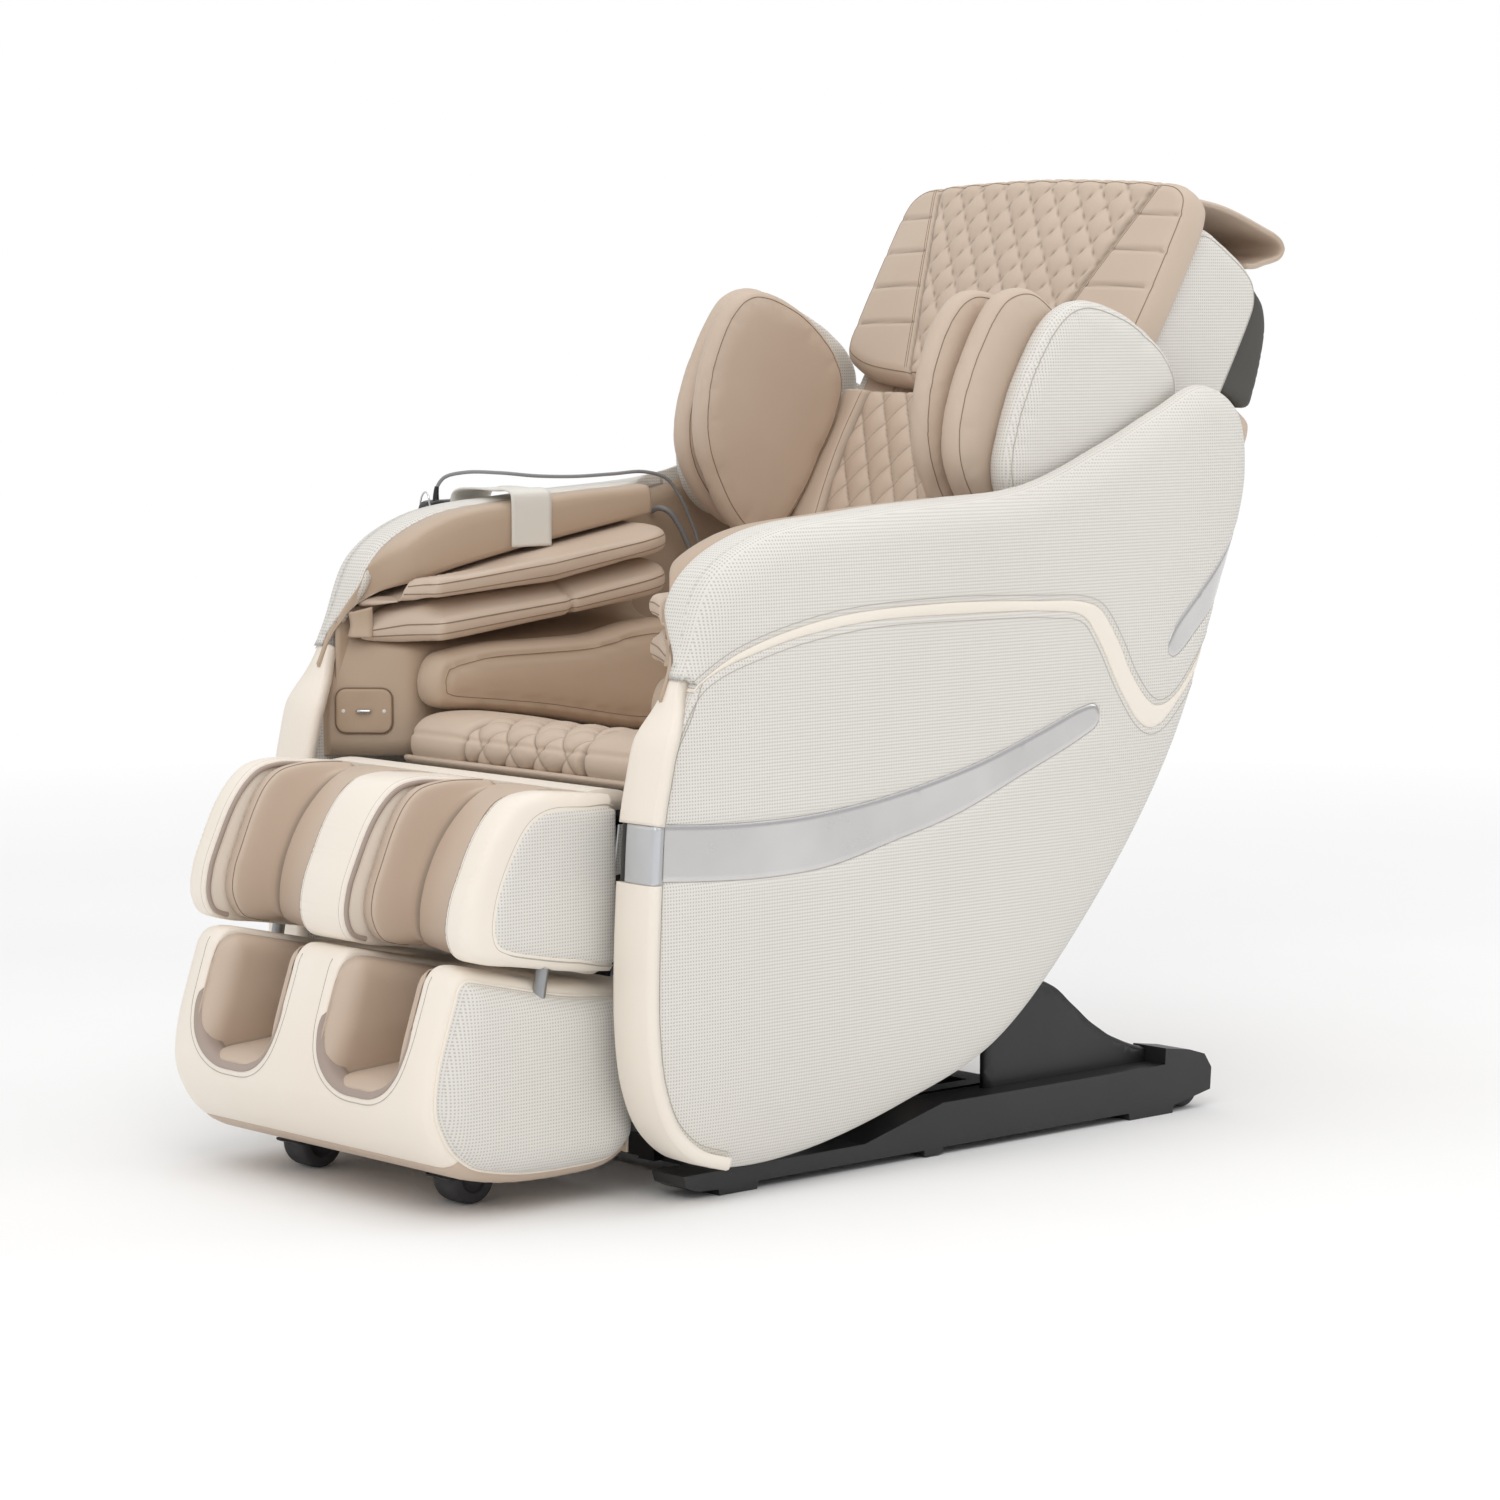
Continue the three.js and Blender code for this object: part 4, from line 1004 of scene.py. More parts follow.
def add_hip_pads():
    """The cushions beside the seat, with a sewn border."""
    border = 0.021

    def shape(where, d):
        return -0.0035 * np.exp(-((d - border) / 0.0035) ** 2) + 0.003 * step_up(d, border, border + 0.03)

    piece = pad("hip_cushion_left", HIP_LOOP, lambda where, h: np.column_stack([0.236 - h, where]),
                0.026, 0.022, 0.018, TAN_SHADED, "seat_body", spacing=0.008, power=2.2, shape=shape)
    inflate(piece, 0.003)
    pair(piece, "seat_body", "tan_leather", "hip_pad")
    ring = inset(HIP_LOOP, border)
    twin(stitch("hip_cushion_seam_left", piece, np.column_stack([np.full(len(ring), 0.1), ring]), (1, 0, 0),
                "seat_body", closed=True), "seat_body")


def pod_frame(across, up, out):
    """A point on the right-hand arm's chamfer: along it, up, and out of it."""
    s = math.sqrt(0.5)
    across, up, out = np.broadcast_arrays(np.asarray(across, float), up, out)
    x = POD_CENTRE[0] + across * s + out * -s
    y = POD_CENTRE[1] - across * s - out * s
    return np.stack([-x, y, POD_Z + up], axis=-1)


def rounded_box_loop(width, height, corner, count=96):
    """A rectangle's outline with round corners."""
    w, h = width / 2 - corner, height / 2 - corner
    points = []
    for cx, cy, start in ((w, h, 0), (-w, h, 90), (-w, -h, 180), (w, -h, 270)):
        for a in range(0, 91, 15):
            t = math.radians(start + a)
            points.append([cx + corner * math.cos(t), cy + corner * math.sin(t)])
    return spaced(np.array(points + points[:1]), count, closed=True)


def add_control_pod():
    """The small control plate on the right arm's chamfer."""
    plate = rounded_box_loop(POD_WIDTH - 0.002, POD_HEIGHT - 0.002, 0.013)

    def place(where, h):
        bowl = 0.0016 * np.exp(-((where[:, 0] / 0.016) ** 2 + (where[:, 1] / 0.02) ** 2) ** 2)
        return pod_frame(where[:, 0], where[:, 1], h + 0.0024 - bowl)

    pod = pad("control_plate", plate, place, 0.0022, 0.008, 0.0022, TAN_PLASTIC, "seat_body", spacing=0.0035)
    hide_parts("control_pod")
    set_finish(pod, "tan_plastic")
    ring = rounded_box_loop(POD_WIDTH, POD_HEIGHT, 0.014)
    outline = tube("control_outline", pod_frame(ring[:, 0], ring[:, 1], 0.0012), 0.0009, THREAD, "seat_body",
                   sides=6, closed=True)
    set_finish(outline, "tan_plastic")
    for k, at in enumerate((-0.027, 0.027)):
        dot = pad(f"control_dot{k}", smooth([[at + 0.0026 * math.cos(a), 0.0026 * math.sin(a)]
                                             for a in np.linspace(0, 2 * math.pi, 9)[:-1]], 28, closed=True),
                  lambda where, h: pod_frame(where[:, 0], where[:, 1], h + 0.0045), 0.0007, 0.001, 0.0014,
                  DOT, "seat_body", spacing=0.002)
        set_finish(dot, "ivory_leather")
    lever = joined("chrome_lever", [lever_part()], CHROME, "pod_lever")
    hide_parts("pod_lever")
    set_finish(lever, "steel")


def lever_part():
    """The round bar that rocks in the plate's hollow."""
    rows = []
    for t in np.linspace(-1, 1, 15):
        r = 0.0027 * math.sqrt(max(1 - abs(t) ** 6, 0.02))
        a = np.arange(12) / 12 * 2 * math.pi
        rows.append(pod_frame(t * 0.0105, r * np.sin(a), 0.0062 + r * np.cos(a)))
    return stacked(rows)


# ------------------------------------------------------------------ remote and its strap
def add_remote():
    """The remote in its pouch, hung on a strap over the right arm."""
    y = np.linspace(-0.216, -0.149, 12)
    profile = smooth(mm([[-256.4, 766], [-256.4, 800], [-256.6, 828], [-259, 838], [-272, 842],
                         [-300, 841.5], [-340, 842.5], [-372, 840], [-384, 834], [-388.6, 820], [-389, 790],
                         [-389, 752]]), 70)
    thin = 0.0012 * (1 - np.sqrt(1 - np.abs(np.linspace(-1, 1, 12)) ** 8))
    rows = np.array([np.column_stack([p[0] + n[0] * thin, y, p[1] + n[1] * thin])
                     for p, n in zip(profile, outward(profile))])
    strap = grid_piece("remote_strap", rows, STRAP, "seat_body", thickness=0.0026, flip=True)
    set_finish(strap, "ivory_leather")
    holder = []
    loop = rounded_box_loop(0.084, 0.027, 0.010, 60)
    for z, k in ((0.6775, 0.80), (0.678, 0.92), (0.682, 0.99), (0.702, 1), (0.742, 1), (0.784, 1),
                 (0.7905, 1), (0.792, 0.985), (0.7905, (0.94, 0.80)), (0.784, (0.94, 0.80)),
                 (0.722, (0.94, 0.80)), (0.686, (0.94, 0.80))):
        p = loop * k
        holder.append(np.column_stack([p[:, 1] - 0.4002, p[:, 0] - 0.220, np.full(len(p), z)]))
    pouch = joined("remote_pouch", [stacked(holder)], STRAP, "seat_body")
    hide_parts("remote_holder")
    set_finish(pouch, "ivory_leather")
    body = smooth(mm([[-257, 683], [-220, 682.5], [-183, 683], [-182, 692], [-182, 752], [-183, 814],
                      [-190, 823], [-220, 825], [-250, 823], [-257, 814], [-258, 752],
                      [-258, 692]]), 120, closed=True)
    remote = joined("remote_body", [slab(body, -0.4103, -0.3907, 0.005, 0.005)], GLOSS, "seat_body")
    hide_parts("remote")
    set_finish(remote, "motor_black")
    hook = smooth(mm([[-389, -250, 792], [-388.5, -252, 822], [-392, -252, 833], [-399, -251, 836],
                      [-406, -251, 831], [-411.5, -250, 818], [-412, -250, 794]]), 40)
    wire = tube("remote_hook", hook, 0.0013, CHROME, "seat_body", sides=8)
    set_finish(wire, "steel")
    relief = tube("lead_relief", smooth(mm([[-400, -232, 824.6], [-399.9, -231.9, 830], [-399.6, -231.5, 837],
                                            [-399.0, -230.8, 843]]), 16),
                  np.linspace(0.0046, 0.0031, 16), GLOSS, "seat_body", sides=12)
    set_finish(relief, "motor_black")


# ------------------------------------------------------------------ quilting
def quilt(across, along, wide, long, high):
    """Height of diamond quilting, wide by long a diamond, and the painted shade in its seam grooves."""
    a = np.abs(np.sin(np.pi * (across / wide + along / long)))
    b = np.abs(np.sin(np.pi * (across / wide - along / long)))
    return high * (a * b) ** 0.45, 1 - np.clip(np.minimum(a, b) / 0.10, 0, 1)


def rows_piece(name, front, back, material, body):
    """A closed cushion from two facing grids with the same rim."""
    n, m, _ = front.shape
    faces = grid_faces(n, m) + [f[::-1] for f in grid_faces(n, m, first=n * m)]
    ring = ([(i, 0) for i in range(n)] + [(n - 1, j) for j in range(1, m)] +
            [(i, m - 1) for i in range(n - 2, -1, -1)] + [(0, j) for j in range(m - 2, 0, -1)])
    k = [i * m + j for i, j in ring]
    off = n * m
    for p, q in zip(k, k[1:] + k[:1]):
        faces.append((q, p, p + off, q + off))
    piece = add_mesh(name, np.concatenate([front.reshape(-1, 3), back.reshape(-1, 3)]), faces, material, body)
    turn_out(piece)
    return piece


# ------------------------------------------------------------------ seat
SEAT_TOP = smooth(mm([[-390, 497], [-399, 503], [-405, 512], [-406, 522], [-402, 533], [-392, 542],
                      [-375, 547], [-330, 548], [-270, 540], [-200, 526], [-120, 512], [-40, 501], [30, 493],
                      [72, 486], [78, 478]]), 300)
SEAT_WIDE = 0.238


def add_seat():
    """The seat cushion, quilted between two plain rolls, and the flap under its front."""
    x = np.linspace(-SEAT_WIDE, SEAT_WIDE, 300)
    run = np.concatenate([[0], np.cumsum(np.linalg.norm(np.diff(SEAT_TOP, axis=0), axis=1))])
    n = outward(SEAT_TOP)
    n = n if n[150, 1] > 0 else -n
    s, across = np.meshgrid(run, x, indexing="ij")
    edge = 0.108 + 0.012 * step_up(s, 0.30, 0.12) - 0.006 * np.sin(np.clip(s / 0.28, 0, 1) * math.pi)
    centre = np.abs(across) < edge
    lift, groove_shade = quilt(across, s, 0.056, 0.064, 0.0085)
    off_middle = (np.abs(across) - (edge + SEAT_WIDE) / 2) / ((SEAT_WIDE - edge) / 2)
    side = 0.0105 * np.sqrt(np.clip(1 - off_middle ** 4, 0, 1))
    seam = np.exp(-((np.abs(across) - edge) / 0.0045) ** 2)
    height = np.where(centre, lift, side) * (1 - seam) + 0.0005
    fold = np.exp(-((s - 0.040) / 0.0024) ** 2) * 0.0026
    low_edge = rounded(s, 0.016) * rounded(run[-1] - s, 0.02)
    round_side = rounded(SEAT_WIDE - np.abs(across), 0.018)
    height = (height - fold) * low_edge * round_side - 0.016 * (1 - round_side)
    # painted shade in the quilting grooves and along the side seams, for the seam attribute
    colour = np.where(centre, groove_shade, 0)
    colour = np.maximum(colour, np.clip(seam * 1.4 - 0.5, 0, 1)) * low_edge
    yz = SEAT_TOP[:, None, :] + n[:, None, :] * height[..., None]
    front = np.dstack([across, yz])
    base = np.column_stack([np.clip(SEAT_TOP[:, 0], -0.388, 0.074), np.full(len(SEAT_TOP), 0.4765)])
    back = np.dstack([across * 0.985, np.repeat(base[:, None, :], len(x), axis=1)])
    piece = rows_piece("quilted_seat", front, back, TAN_SEAM_SHADE, "seat_body")
    mark(piece, "seam", nearest_marks(piece, front, colour))
    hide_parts("seat_cushion")
    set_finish(piece, "tan_leather")
    wide = SEAT_WIDE - 0.002
    flap = []
    for p in smooth(mm([[-389, 486], [-398, 487.5], [-408, 490.5], [-415, 496], [-417, 501], [-414, 504],
                        [-409, 503], [-404, 500], [-396, 498], [-389, 497]]), 30):
        flap.append(np.column_stack([np.linspace(-wide, wide, 60), np.full(60, p[0]), np.full(60, p[1])]))
    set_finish(joined("seat_front_flap", [swept(flap)], TAN, "seat_body"), "tan_leather")


def nearest_marks(piece, front, colour):
    """Painted seam-groove shade values carried to a mesh whose points were merged."""
    flat = front.reshape(-1, 3)
    tree = KDTree(len(flat))
    for i, p in enumerate(flat):
        tree.insert(p, i)
    tree.balance()
    shades = colour.ravel()
    found = [tree.find(v.co) for v in piece.data.vertices]
    return np.array([shades[i] if d < 1e-4 else 0 for _, i, d in found])


# ------------------------------------------------------------------ back cushion
def add_back_cushion():
    """The back cushion, quilted between two creased bolsters."""
    wide, low, high = 0.238, 0.006, 0.690

    def seam_x(up):
        return mix(0.112, 0.176, step_up(up, 0.04, 0.50))

    u, across = np.meshgrid(np.linspace(low, high, 330), np.linspace(-wide, wide, 250), indexing="ij")
    edge = seam_x(u)
    centre = np.abs(across) < edge
    lift, groove_shade = quilt(across, u, 0.046, 0.066, 0.0075)
    side_at = (np.abs(across) - edge) / np.maximum(wide - edge, 0.01)
    bolster = 0.012 * np.sqrt(np.clip(1 - (2 * side_at - 1) ** 4, 0, 1))
    crease = 0
    for at, slope, start, thin in ((0.17, 0.30, 0.12, 0.012), (0.30, 0.45, 0.15, 0.010),
                                   (0.075, -0.20, 0.12, 0.010)):
        crease = crease + 0.0024 * np.exp(-((u - at - slope * (np.abs(across) - start)) / thin) ** 2)
    crease = crease * step_up(side_at, 0.05, 0.35) * (1 - step_up(side_at, 0.75, 1.0))
    seam = np.exp(-((np.abs(across) - edge) / 0.0042) ** 2)
    height = np.where(centre, lift, bolster - crease) * (1 - seam)
    rim = rounded(wide - np.abs(across), 0.03) * rounded(u - low, 0.03) * rounded(high - u, 0.03)
    waist = 0.006 * np.sin(np.clip(u / 0.6, 0, 1) * math.pi)
    depth = 0.004 - height * rim + 0.028 * (1 - rim) - waist * rim
    depth = mix(depth, 0.0405, step_up(u, 0.54, 0.565))
    front = back_point(across, depth, u)
    behind = back_point(across * 0.985, np.maximum(depth + 0.0004, 0.0408), u)
    # painted shade in the quilting grooves and along the side seams, for the seam attribute
    colour = np.where(centre, groove_shade, 0)
    colour = np.maximum(colour, np.clip(seam * 1.4 - 0.5, 0, 1)) * rim
    piece = rows_piece("quilted_back", front, behind, TAN_SEAM_SHADE, "backrest")
    mark(piece, "seam", nearest_marks(piece, front, colour))
    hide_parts("back_cushion")
    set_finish(piece, "tan_leather")
    for k in (-1, 1):
        up = np.linspace(0.03, 0.55, 60)
        stitch(f"back_stitch{'AB'[k > 0]}", piece, back_point(k * (seam_x(up) + 0.0075), -0.1, up), INTO_BACK,
               "backrest", 0.0005)


# ------------------------------------------------------------------ pillow and flap
PILLOW_HALF = mm([[0, 557], [80, 559], [150, 566], [205, 577], [240, 590], [266, 606], [277, 628],
                  [279, 660], [281, 720], [281, 790], [279, 835], [270, 864], [248, 881], [215, 886],
                  [100, 888], [0, 889]])

PILLOW_SEAMS = (0.655, 0.715, 0.772, 0.828)    # heights of the cross seams, up the back


def add_pillow():
    """The headrest: a quilted middle between two rows of puffs."""
    loop = smooth(np.vstack([PILLOW_HALF, PILLOW_HALF[::-1][1:-1] * [-1, 1]]), 300, closed=True)
    low, high = 0.557, 0.889

    def seam_x(up):
        return mix(0.098, 0.214, np.clip((up - low) / (high - low), 0, 1))

    def bow(across):
        return 0.020 * (across / 0.28) ** 2

    def shape(where, d):
        across, up = where[:, 0], where[:, 1]
        edge = seam_x(up)
        centre = np.abs(across) < edge
        lift, _ = quilt(across, up, 0.046, 0.060, 0.0065)
        seam = np.exp(-((np.abs(across) - edge) / 0.0034) ** 2)
        groove = 0
        for at in PILLOW_SEAMS:
            groove = groove + np.exp(-((up - at - 0.03 * (np.abs(across) - 0.2)) / 0.0028) ** 2)
        groove = groove * step_up(np.abs(across) - edge, 0.004, 0.016)
        groove = groove * (1 - step_up(np.abs(across), 0.262, 0.277))
        off_middle = (np.abs(across) - (edge + 0.28) / 2) / ((0.29 - edge) / 2)
        puff = 0.006 * np.sqrt(np.clip(1 - off_middle ** 4, 0, 1))
        return np.where(centre, lift, puff - 0.0034 * groove) * (1 - seam)

    def place(where, h):
        return back_point(where[:, 0], 0.012 + bow(where[:, 0]) - h, where[:, 1])

    piece = pad("head_pillow_cover", loop, place, 0.020, 0.0265, 0.024, TAN_SEAM_SHADE, "backrest", spacing=0.0036,
                power=2.6, shape=shape)
    # painted shade in the quilting, the side seams and the cross seam grooves, on the front face only, for
    # the seam attribute
    coords = np.array([tuple(v.co) for v in piece.data.vertices])
    c, s = math.cos(BACK_ANGLE), math.sin(BACK_ANGLE)
    dy, dz = coords[:, 1] - BACK_FOOT[0], coords[:, 2] - BACK_FOOT[1]
    depth, up = dy * c - dz * s, dy * s + dz * c
    across = coords[:, 0]
    edge = seam_x(up)
    _, groove_shade = quilt(across, up, 0.046, 0.060, 1)
    value = np.where(np.abs(across) < edge, groove_shade, 0)
    value = np.maximum(value, np.exp(-((np.abs(across) - edge) / 0.0026) ** 2))
    for at in PILLOW_SEAMS:
        groove = np.exp(-((up - at - 0.03 * (np.abs(across) - 0.2)) / 0.0016) ** 2) * 0.7
        value = np.maximum(value, groove * (np.abs(across) > edge + 0.006) * (np.abs(across) < 0.266))
    inner = distance(np.column_stack([across, up]), loop, True)
    value = value * step_up(inner, 0.006, 0.016) * (depth < 0.012 + bow(across))
    mark(piece, "seam", value)
    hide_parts("head_pillow")
    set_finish(piece, "tan_leather")
    ring = inset(loop, 0.011)
    stitch("pillow_edge_seam", piece, back_point(ring[:, 0], -0.1, ring[:, 1]), INTO_BACK, "backrest", 0.0007,
           closed=True)
    for k in (-1, 1):
        for j, off in enumerate((0.007, 0.0105)):
            up = np.linspace(low + 0.022, high - 0.016, 70)
            stitch(f"pillow_seam{j}{'AB'[k > 0]}", piece, back_point(k * (seam_x(up) + off), -0.1, up),
                   INTO_BACK, "backrest", 0.00045)


FLAP_PATH = smooth(mm([[50, 870], [60, 884], [92, 899], [130, 911], [164, 919], [200, 926], [228, 931],
                       [243, 930], [250, 924], [249, 914], [240, 903], [226, 890], [212, 876],
                       [196, 866]]), 90)


def add_flap():
    """The pillow's tail, which lies over the top of the back and hangs behind it."""
    n = outward(FLAP_PATH)
    x = np.linspace(-1, 1, 100)
    run = np.linspace(0, 1, len(FLAP_PATH))
    s, a = np.meshgrid(run, x, indexing="ij")
    half = mix(0.224, 0.232, step_up(s, 0.0, 0.3))
    across = a * half
    roll = rounded((1 - np.abs(a)) * 0.232, 0.007)
    sag = 0.003 * np.sin(np.abs(a) * math.pi) * step_up(s, 0.2, 0.7)
    sew = np.exp(-(((1 - np.abs(a)) * 0.232 - 0.012) / 0.0022) ** 2) * 0.0010
    thick = 0.0052
    up_side = roll * thick - sew - sag * 0.4
    mid = FLAP_PATH[:, None, :]
    sign = -1 if n[30, 1] > 0 else 1
    top = mid - sign * n[:, None, :] * up_side[..., None]
    bottom = mid + sign * n[:, None, :] * (roll * thick * 0.6)[..., None]
    front = back_point(across, top[..., 0], top[..., 1])
    behind = back_point(across, bottom[..., 0], bottom[..., 1])
    piece = rows_piece("pillow_tail", front, behind, TAN, "backrest")
    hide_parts("pillow_flap")
    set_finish(piece, "tan_leather")
    for k in (-1, 1):
        column = 6 if k < 0 else -7
        path = back_point(across[:, column], top[:, column, 0], top[:, column, 1])
        tube(f"tail_stitch{'AB'[k > 0]}", path[6:-4], 0.0006, THREAD, "backrest", sides=6)


# ------------------------------------------------------------------ back shell, cover and rear
SHELL_OUT = smooth(mm([[41, 68], [41, 200], [41, 500], [41, 780], [42, 815], [50, 836], [66, 848], [86, 852],
                       [130, 852], [164, 850], [190, 843], [206, 830], [216, 812], [219, 790], [219, 500],
                       [219, 200], [218, 112], [204, 78], [184, 66], [160, 64.5], [70, 64.5],
                       [48, 65]]), 320, closed=True)
COVER = smooth(mm([[219.6, 692], [260, 691], [288, 693], [298, 700], [297, 718], [286, 768], [269, 812],
                   [248, 835], [230, 842], [219.6, 843], [219.6, 800]]), 130, closed=True)
REAR = smooth(mm([[219.6, 121], [236, 127], [262, 142], [284, 180], [300, 230], [312, 290], [319, 340],
                  [324, 400], [325, 470], [325, 640], [322, 668], [312, 685], [290, 689], [225, 689],
                  [219.6, 684], [219.6, 400]]), 220, closed=True)


def back_slab(name, loop, half, radius, material, node, slot):
    """A closed outline of the backrest's side plane, drawn out to half on either side."""
    piece = joined(name, [slab(loop, -half, half, radius, radius,
                               place=lambda x, p: back_point(x, p[:, 0], p[:, 1]))],
                   material, "backrest")
    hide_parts(node)
    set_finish(piece, slot)
    return piece


def add_back_shell():
    """The backrest's outer shell, its top cover and the pad behind it."""
    back_slab("back_shell_cover", SHELL_OUT, 0.265, 0.024, PERFORATED, "back_shell", "perforated_leather")
    back_slab("rear_top_cover", COVER, 0.240, 0.014, CHARCOAL, "back_cover", "charcoal_plastic")
    rear = back_slab("rear_upholstery_pad", REAR, 0.242, 0.026, TAN, "rear_upholstery", "tan_leather")
    line = inset(SHELL_OUT, 0.013)
    line = opened(line[line[:, 1] > 0.20])
    x = 0.265 - 0.024 * (1 - math.sqrt(1 - (1 - 0.013 / 0.024) ** 2)) + 0.0002
    for k in (-1, 1):
        tube(f"shell_stitch{'AB'[k > 0]}", back_point(np.full(len(line), k * x), line[:, 0], line[:, 1]),
             0.0006, PALE_THREAD, "backrest", sides=6)


# ------------------------------------------------------------------ wings
WING_SHELL = smooth(mm([[-172, 381], [-186, 460], [-182, 545], [-166, 585], [-140, 610], [-74, 632],
                        [-20, 636], [30, 630], [66, 610], [84, 575], [88, 530], [80, 460], [62, 400],
                        [30, 358], [-20, 325], [-60, 306], [-100, 304], [-135, 320],
                        [-158, 345]]), 200, closed=True)
WING_OUTER = smooth(mm([[-206, 338], [-226, 374], [-238, 416], [-244, 470], [-243, 520], [-236, 556],
                        [-216, 582], [-190, 596], [-150, 597], [-110, 588], [-60, 574], [-24, 556],
                        [-10, 520], [-8, 470], [-10, 400], [-16, 345], [-32, 308], [-60, 290], [-100, 288],
                        [-140, 296], [-178, 314]]), 200, closed=True)
WING_INNER = smooth(mm([[-172, 304], [-206, 328], [-234, 364], [-254, 408], [-266, 458], [-268, 505],
                        [-260, 540], [-244, 562], [-218, 576], [-180, 585], [-140, 588], [-95, 582],
                        [-60, 570], [-28, 545], [-12, 500], [-9, 430], [-12, 360], [-24, 310], [-44, 284],
                        [-74, 269], [-104, 272], [-138, 284]]), 200, closed=True)


def wing(name, loop, x_low, x_high, r_in, r_out, material, node, slot, lines, thread, bulge):
    """A wing pad over a closed outline in the backrest's side plane. lines: inset seams and their sides."""
    x_mid = (x_low + x_high) / 2
    half = (x_high - x_low) / 2
    where, faces, rim, d = mesh_inside(loop, 0.008, max(r_in, r_out), PAD_ROWS)

    def skin(side, radius):
        swell = rounded(d, radius, 2.2) * (1 - bulge + bulge * step_up(d, 0, d.max() * 0.9))
        dips = [0.0011 * np.exp(-((d - by) / 0.002) ** 2) for by, at in lines if at == side]
        return back_point(x_mid + side * (half * swell - sum(dips)), where[:, 0], where[:, 1])

    piece = joined(name, [solid_between(skin(1, r_out), skin(-1, r_in), faces, rim)], material, "backrest")
    inflate(piece, 0.0025)
    pair(piece, "backrest", slot, node)
    for i, (by, side) in enumerate(lines):
        ring = inset(loop, by)
        origins = back_point(np.full(len(ring), x_mid + side * 0.15), ring[:, 0], ring[:, 1])
        twin(stitch(f"{name[:-5]}_seam{i}_left", piece, origins, (-side, 0, 0), "backrest", 0.0007, thread,
                    closed=True), "backrest")


def add_wings():
    """The shell and the two shoulder pads on each side of the head."""
    wing("wing_outer_shell_left", WING_SHELL, 0.2862, 0.333, 0.010, 0.030, PERFORATED, "wing_shell",
         "perforated_leather", [(0.011, 1)], PALE_THREAD, 0.12)
    wing("wing_outer_cushion_left", WING_OUTER, 0.2384, 0.2858, 0.022, 0.022, TAN, "wing_pad_outer",
         "tan_leather", [(0.009, 1), (0.009, -1)], THREAD, 0.10)
    wing("wing_inner_cushion_left", WING_INNER, 0.1905, 0.2380, 0.020, 0.022, TAN, "wing_pad_inner",
         "tan_leather", [(0.010, 1), (0.010, -1)], THREAD, 0.16)


# ------------------------------------------------------------------ calf rest
CALF = smooth(mm([[-497, 284], [-560, 290], [-640, 303], [-696, 312], [-720, 322], [-731, 346], [-727, 382],
                  [-713, 417], [-690, 462], [-668, 489], [-645, 505], [-613, 511], [-560, 507],
                  [-497, 500]]), 240)
CALF_LOOP = np.vstack([CALF, mm([[-497, 450], [-497, 400], [-497, 340]])])
RIDGE = smooth(mm([[-628, 306], [-668, 312], [-690, 322], [-704, 350], [-701, 380], [-690, 408], [-667, 459],
                   [-650, 484], [-630, 499], [-596, 506], [-550, 506], [-505, 502]]), 160)
TROUGH = smooth(mm([[-618, 306], [-632, 309], [-643, 322], [-645, 350], [-639, 380], [-630, 404], [-612, 436],
                    [-588, 464], [-562, 485], [-536, 497], [-518, 500], [-505, 501]]), 160)
CHANNEL = (0.044, 0.244)
ROD_SIDE = 0.266               # x of the slide rods
ROD_TILT = math.radians(11.65)
ROD_FOOT = np.array([-0.604, 0.270])


def cut(piece, cutter):
    """Takes the cutter's volume out of a closed piece, for good."""
    hole = piece.modifiers.new("hole", "BOOLEAN")
    hole.operation = "DIFFERENCE"
    hole.solver = "EXACT"
    hole.object = cutter
    graph = bpy.context.evaluated_depsgraph_get()
    mesh = bpy.data.meshes.new_from_object(piece.evaluated_get(graph))
    piece.modifiers.remove(hole)
    old = piece.data
    piece.data = mesh
    bpy.data.meshes.remove(old)
    bpy.data.objects.remove(cutter, do_unlink=True)
    piece.data.polygons.foreach_set("use_smooth", np.ones(len(piece.data.polygons), bool))


def rod_line(x, low, high):
    """A slide rod's axis, from low to high along it."""
    direction = np.array([0, math.sin(ROD_TILT), math.cos(ROD_TILT)])
    start = np.array([x, *ROD_FOOT])
    return np.array([start + direction * k for k in np.linspace(low, high, 12)])


def add_calf():
    """The calf rest: its solid parts, then its channels and sides."""
    rear = mm([[-497, 284], [-556, 290], [-580, 294], [-590, 330], [-580, 380], [-560, 420], [-535, 455],
               [-515, 475], [-505, 492], [-497, 494]])
    parts = [slab(CALF_LOOP, -CHANNEL[0], CHANNEL[0], 0.005, 0.005),
             slab(smooth(rear, 120, closed=True), -0.254, 0.254, 0.002, 0.002)]
    core = joined("calf_shell_cover", parts, IVORY, "legrest")
    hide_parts("calf_shell")
    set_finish(core, "ivory_leather")
    outer = joined("calf_shell_side_left", [slab(CALF_LOOP, CHANNEL[1], 0.2855, 0.005, 0.017)], IVORY,
                   "legrest")
    cut(outer, tube("rod_bore", rod_line(ROD_SIDE, -0.02, 0.215), 0.0098, IVORY, "legrest", sides=28))
    pair(outer, "legrest", "ivory_leather")
    x = np.linspace(-0.256, 0.256, 60)
    bridge = smooth(mm([[-520, 503.5], [-500, 505], [-480, 504], [-462, 500], [-450, 493], [-447, 486],
                        [-452, 480], [-470, 478], [-497, 478]]), 40)
    rows = [np.column_stack([x, np.full(60, p[0]), np.full(60, p[1])]) for p in bridge]
    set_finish(joined("calf_top_strip", [swept(rows)], IVORY, "legrest"), "ivory_leather")
    add_calf_channels()
    add_calf_sides()


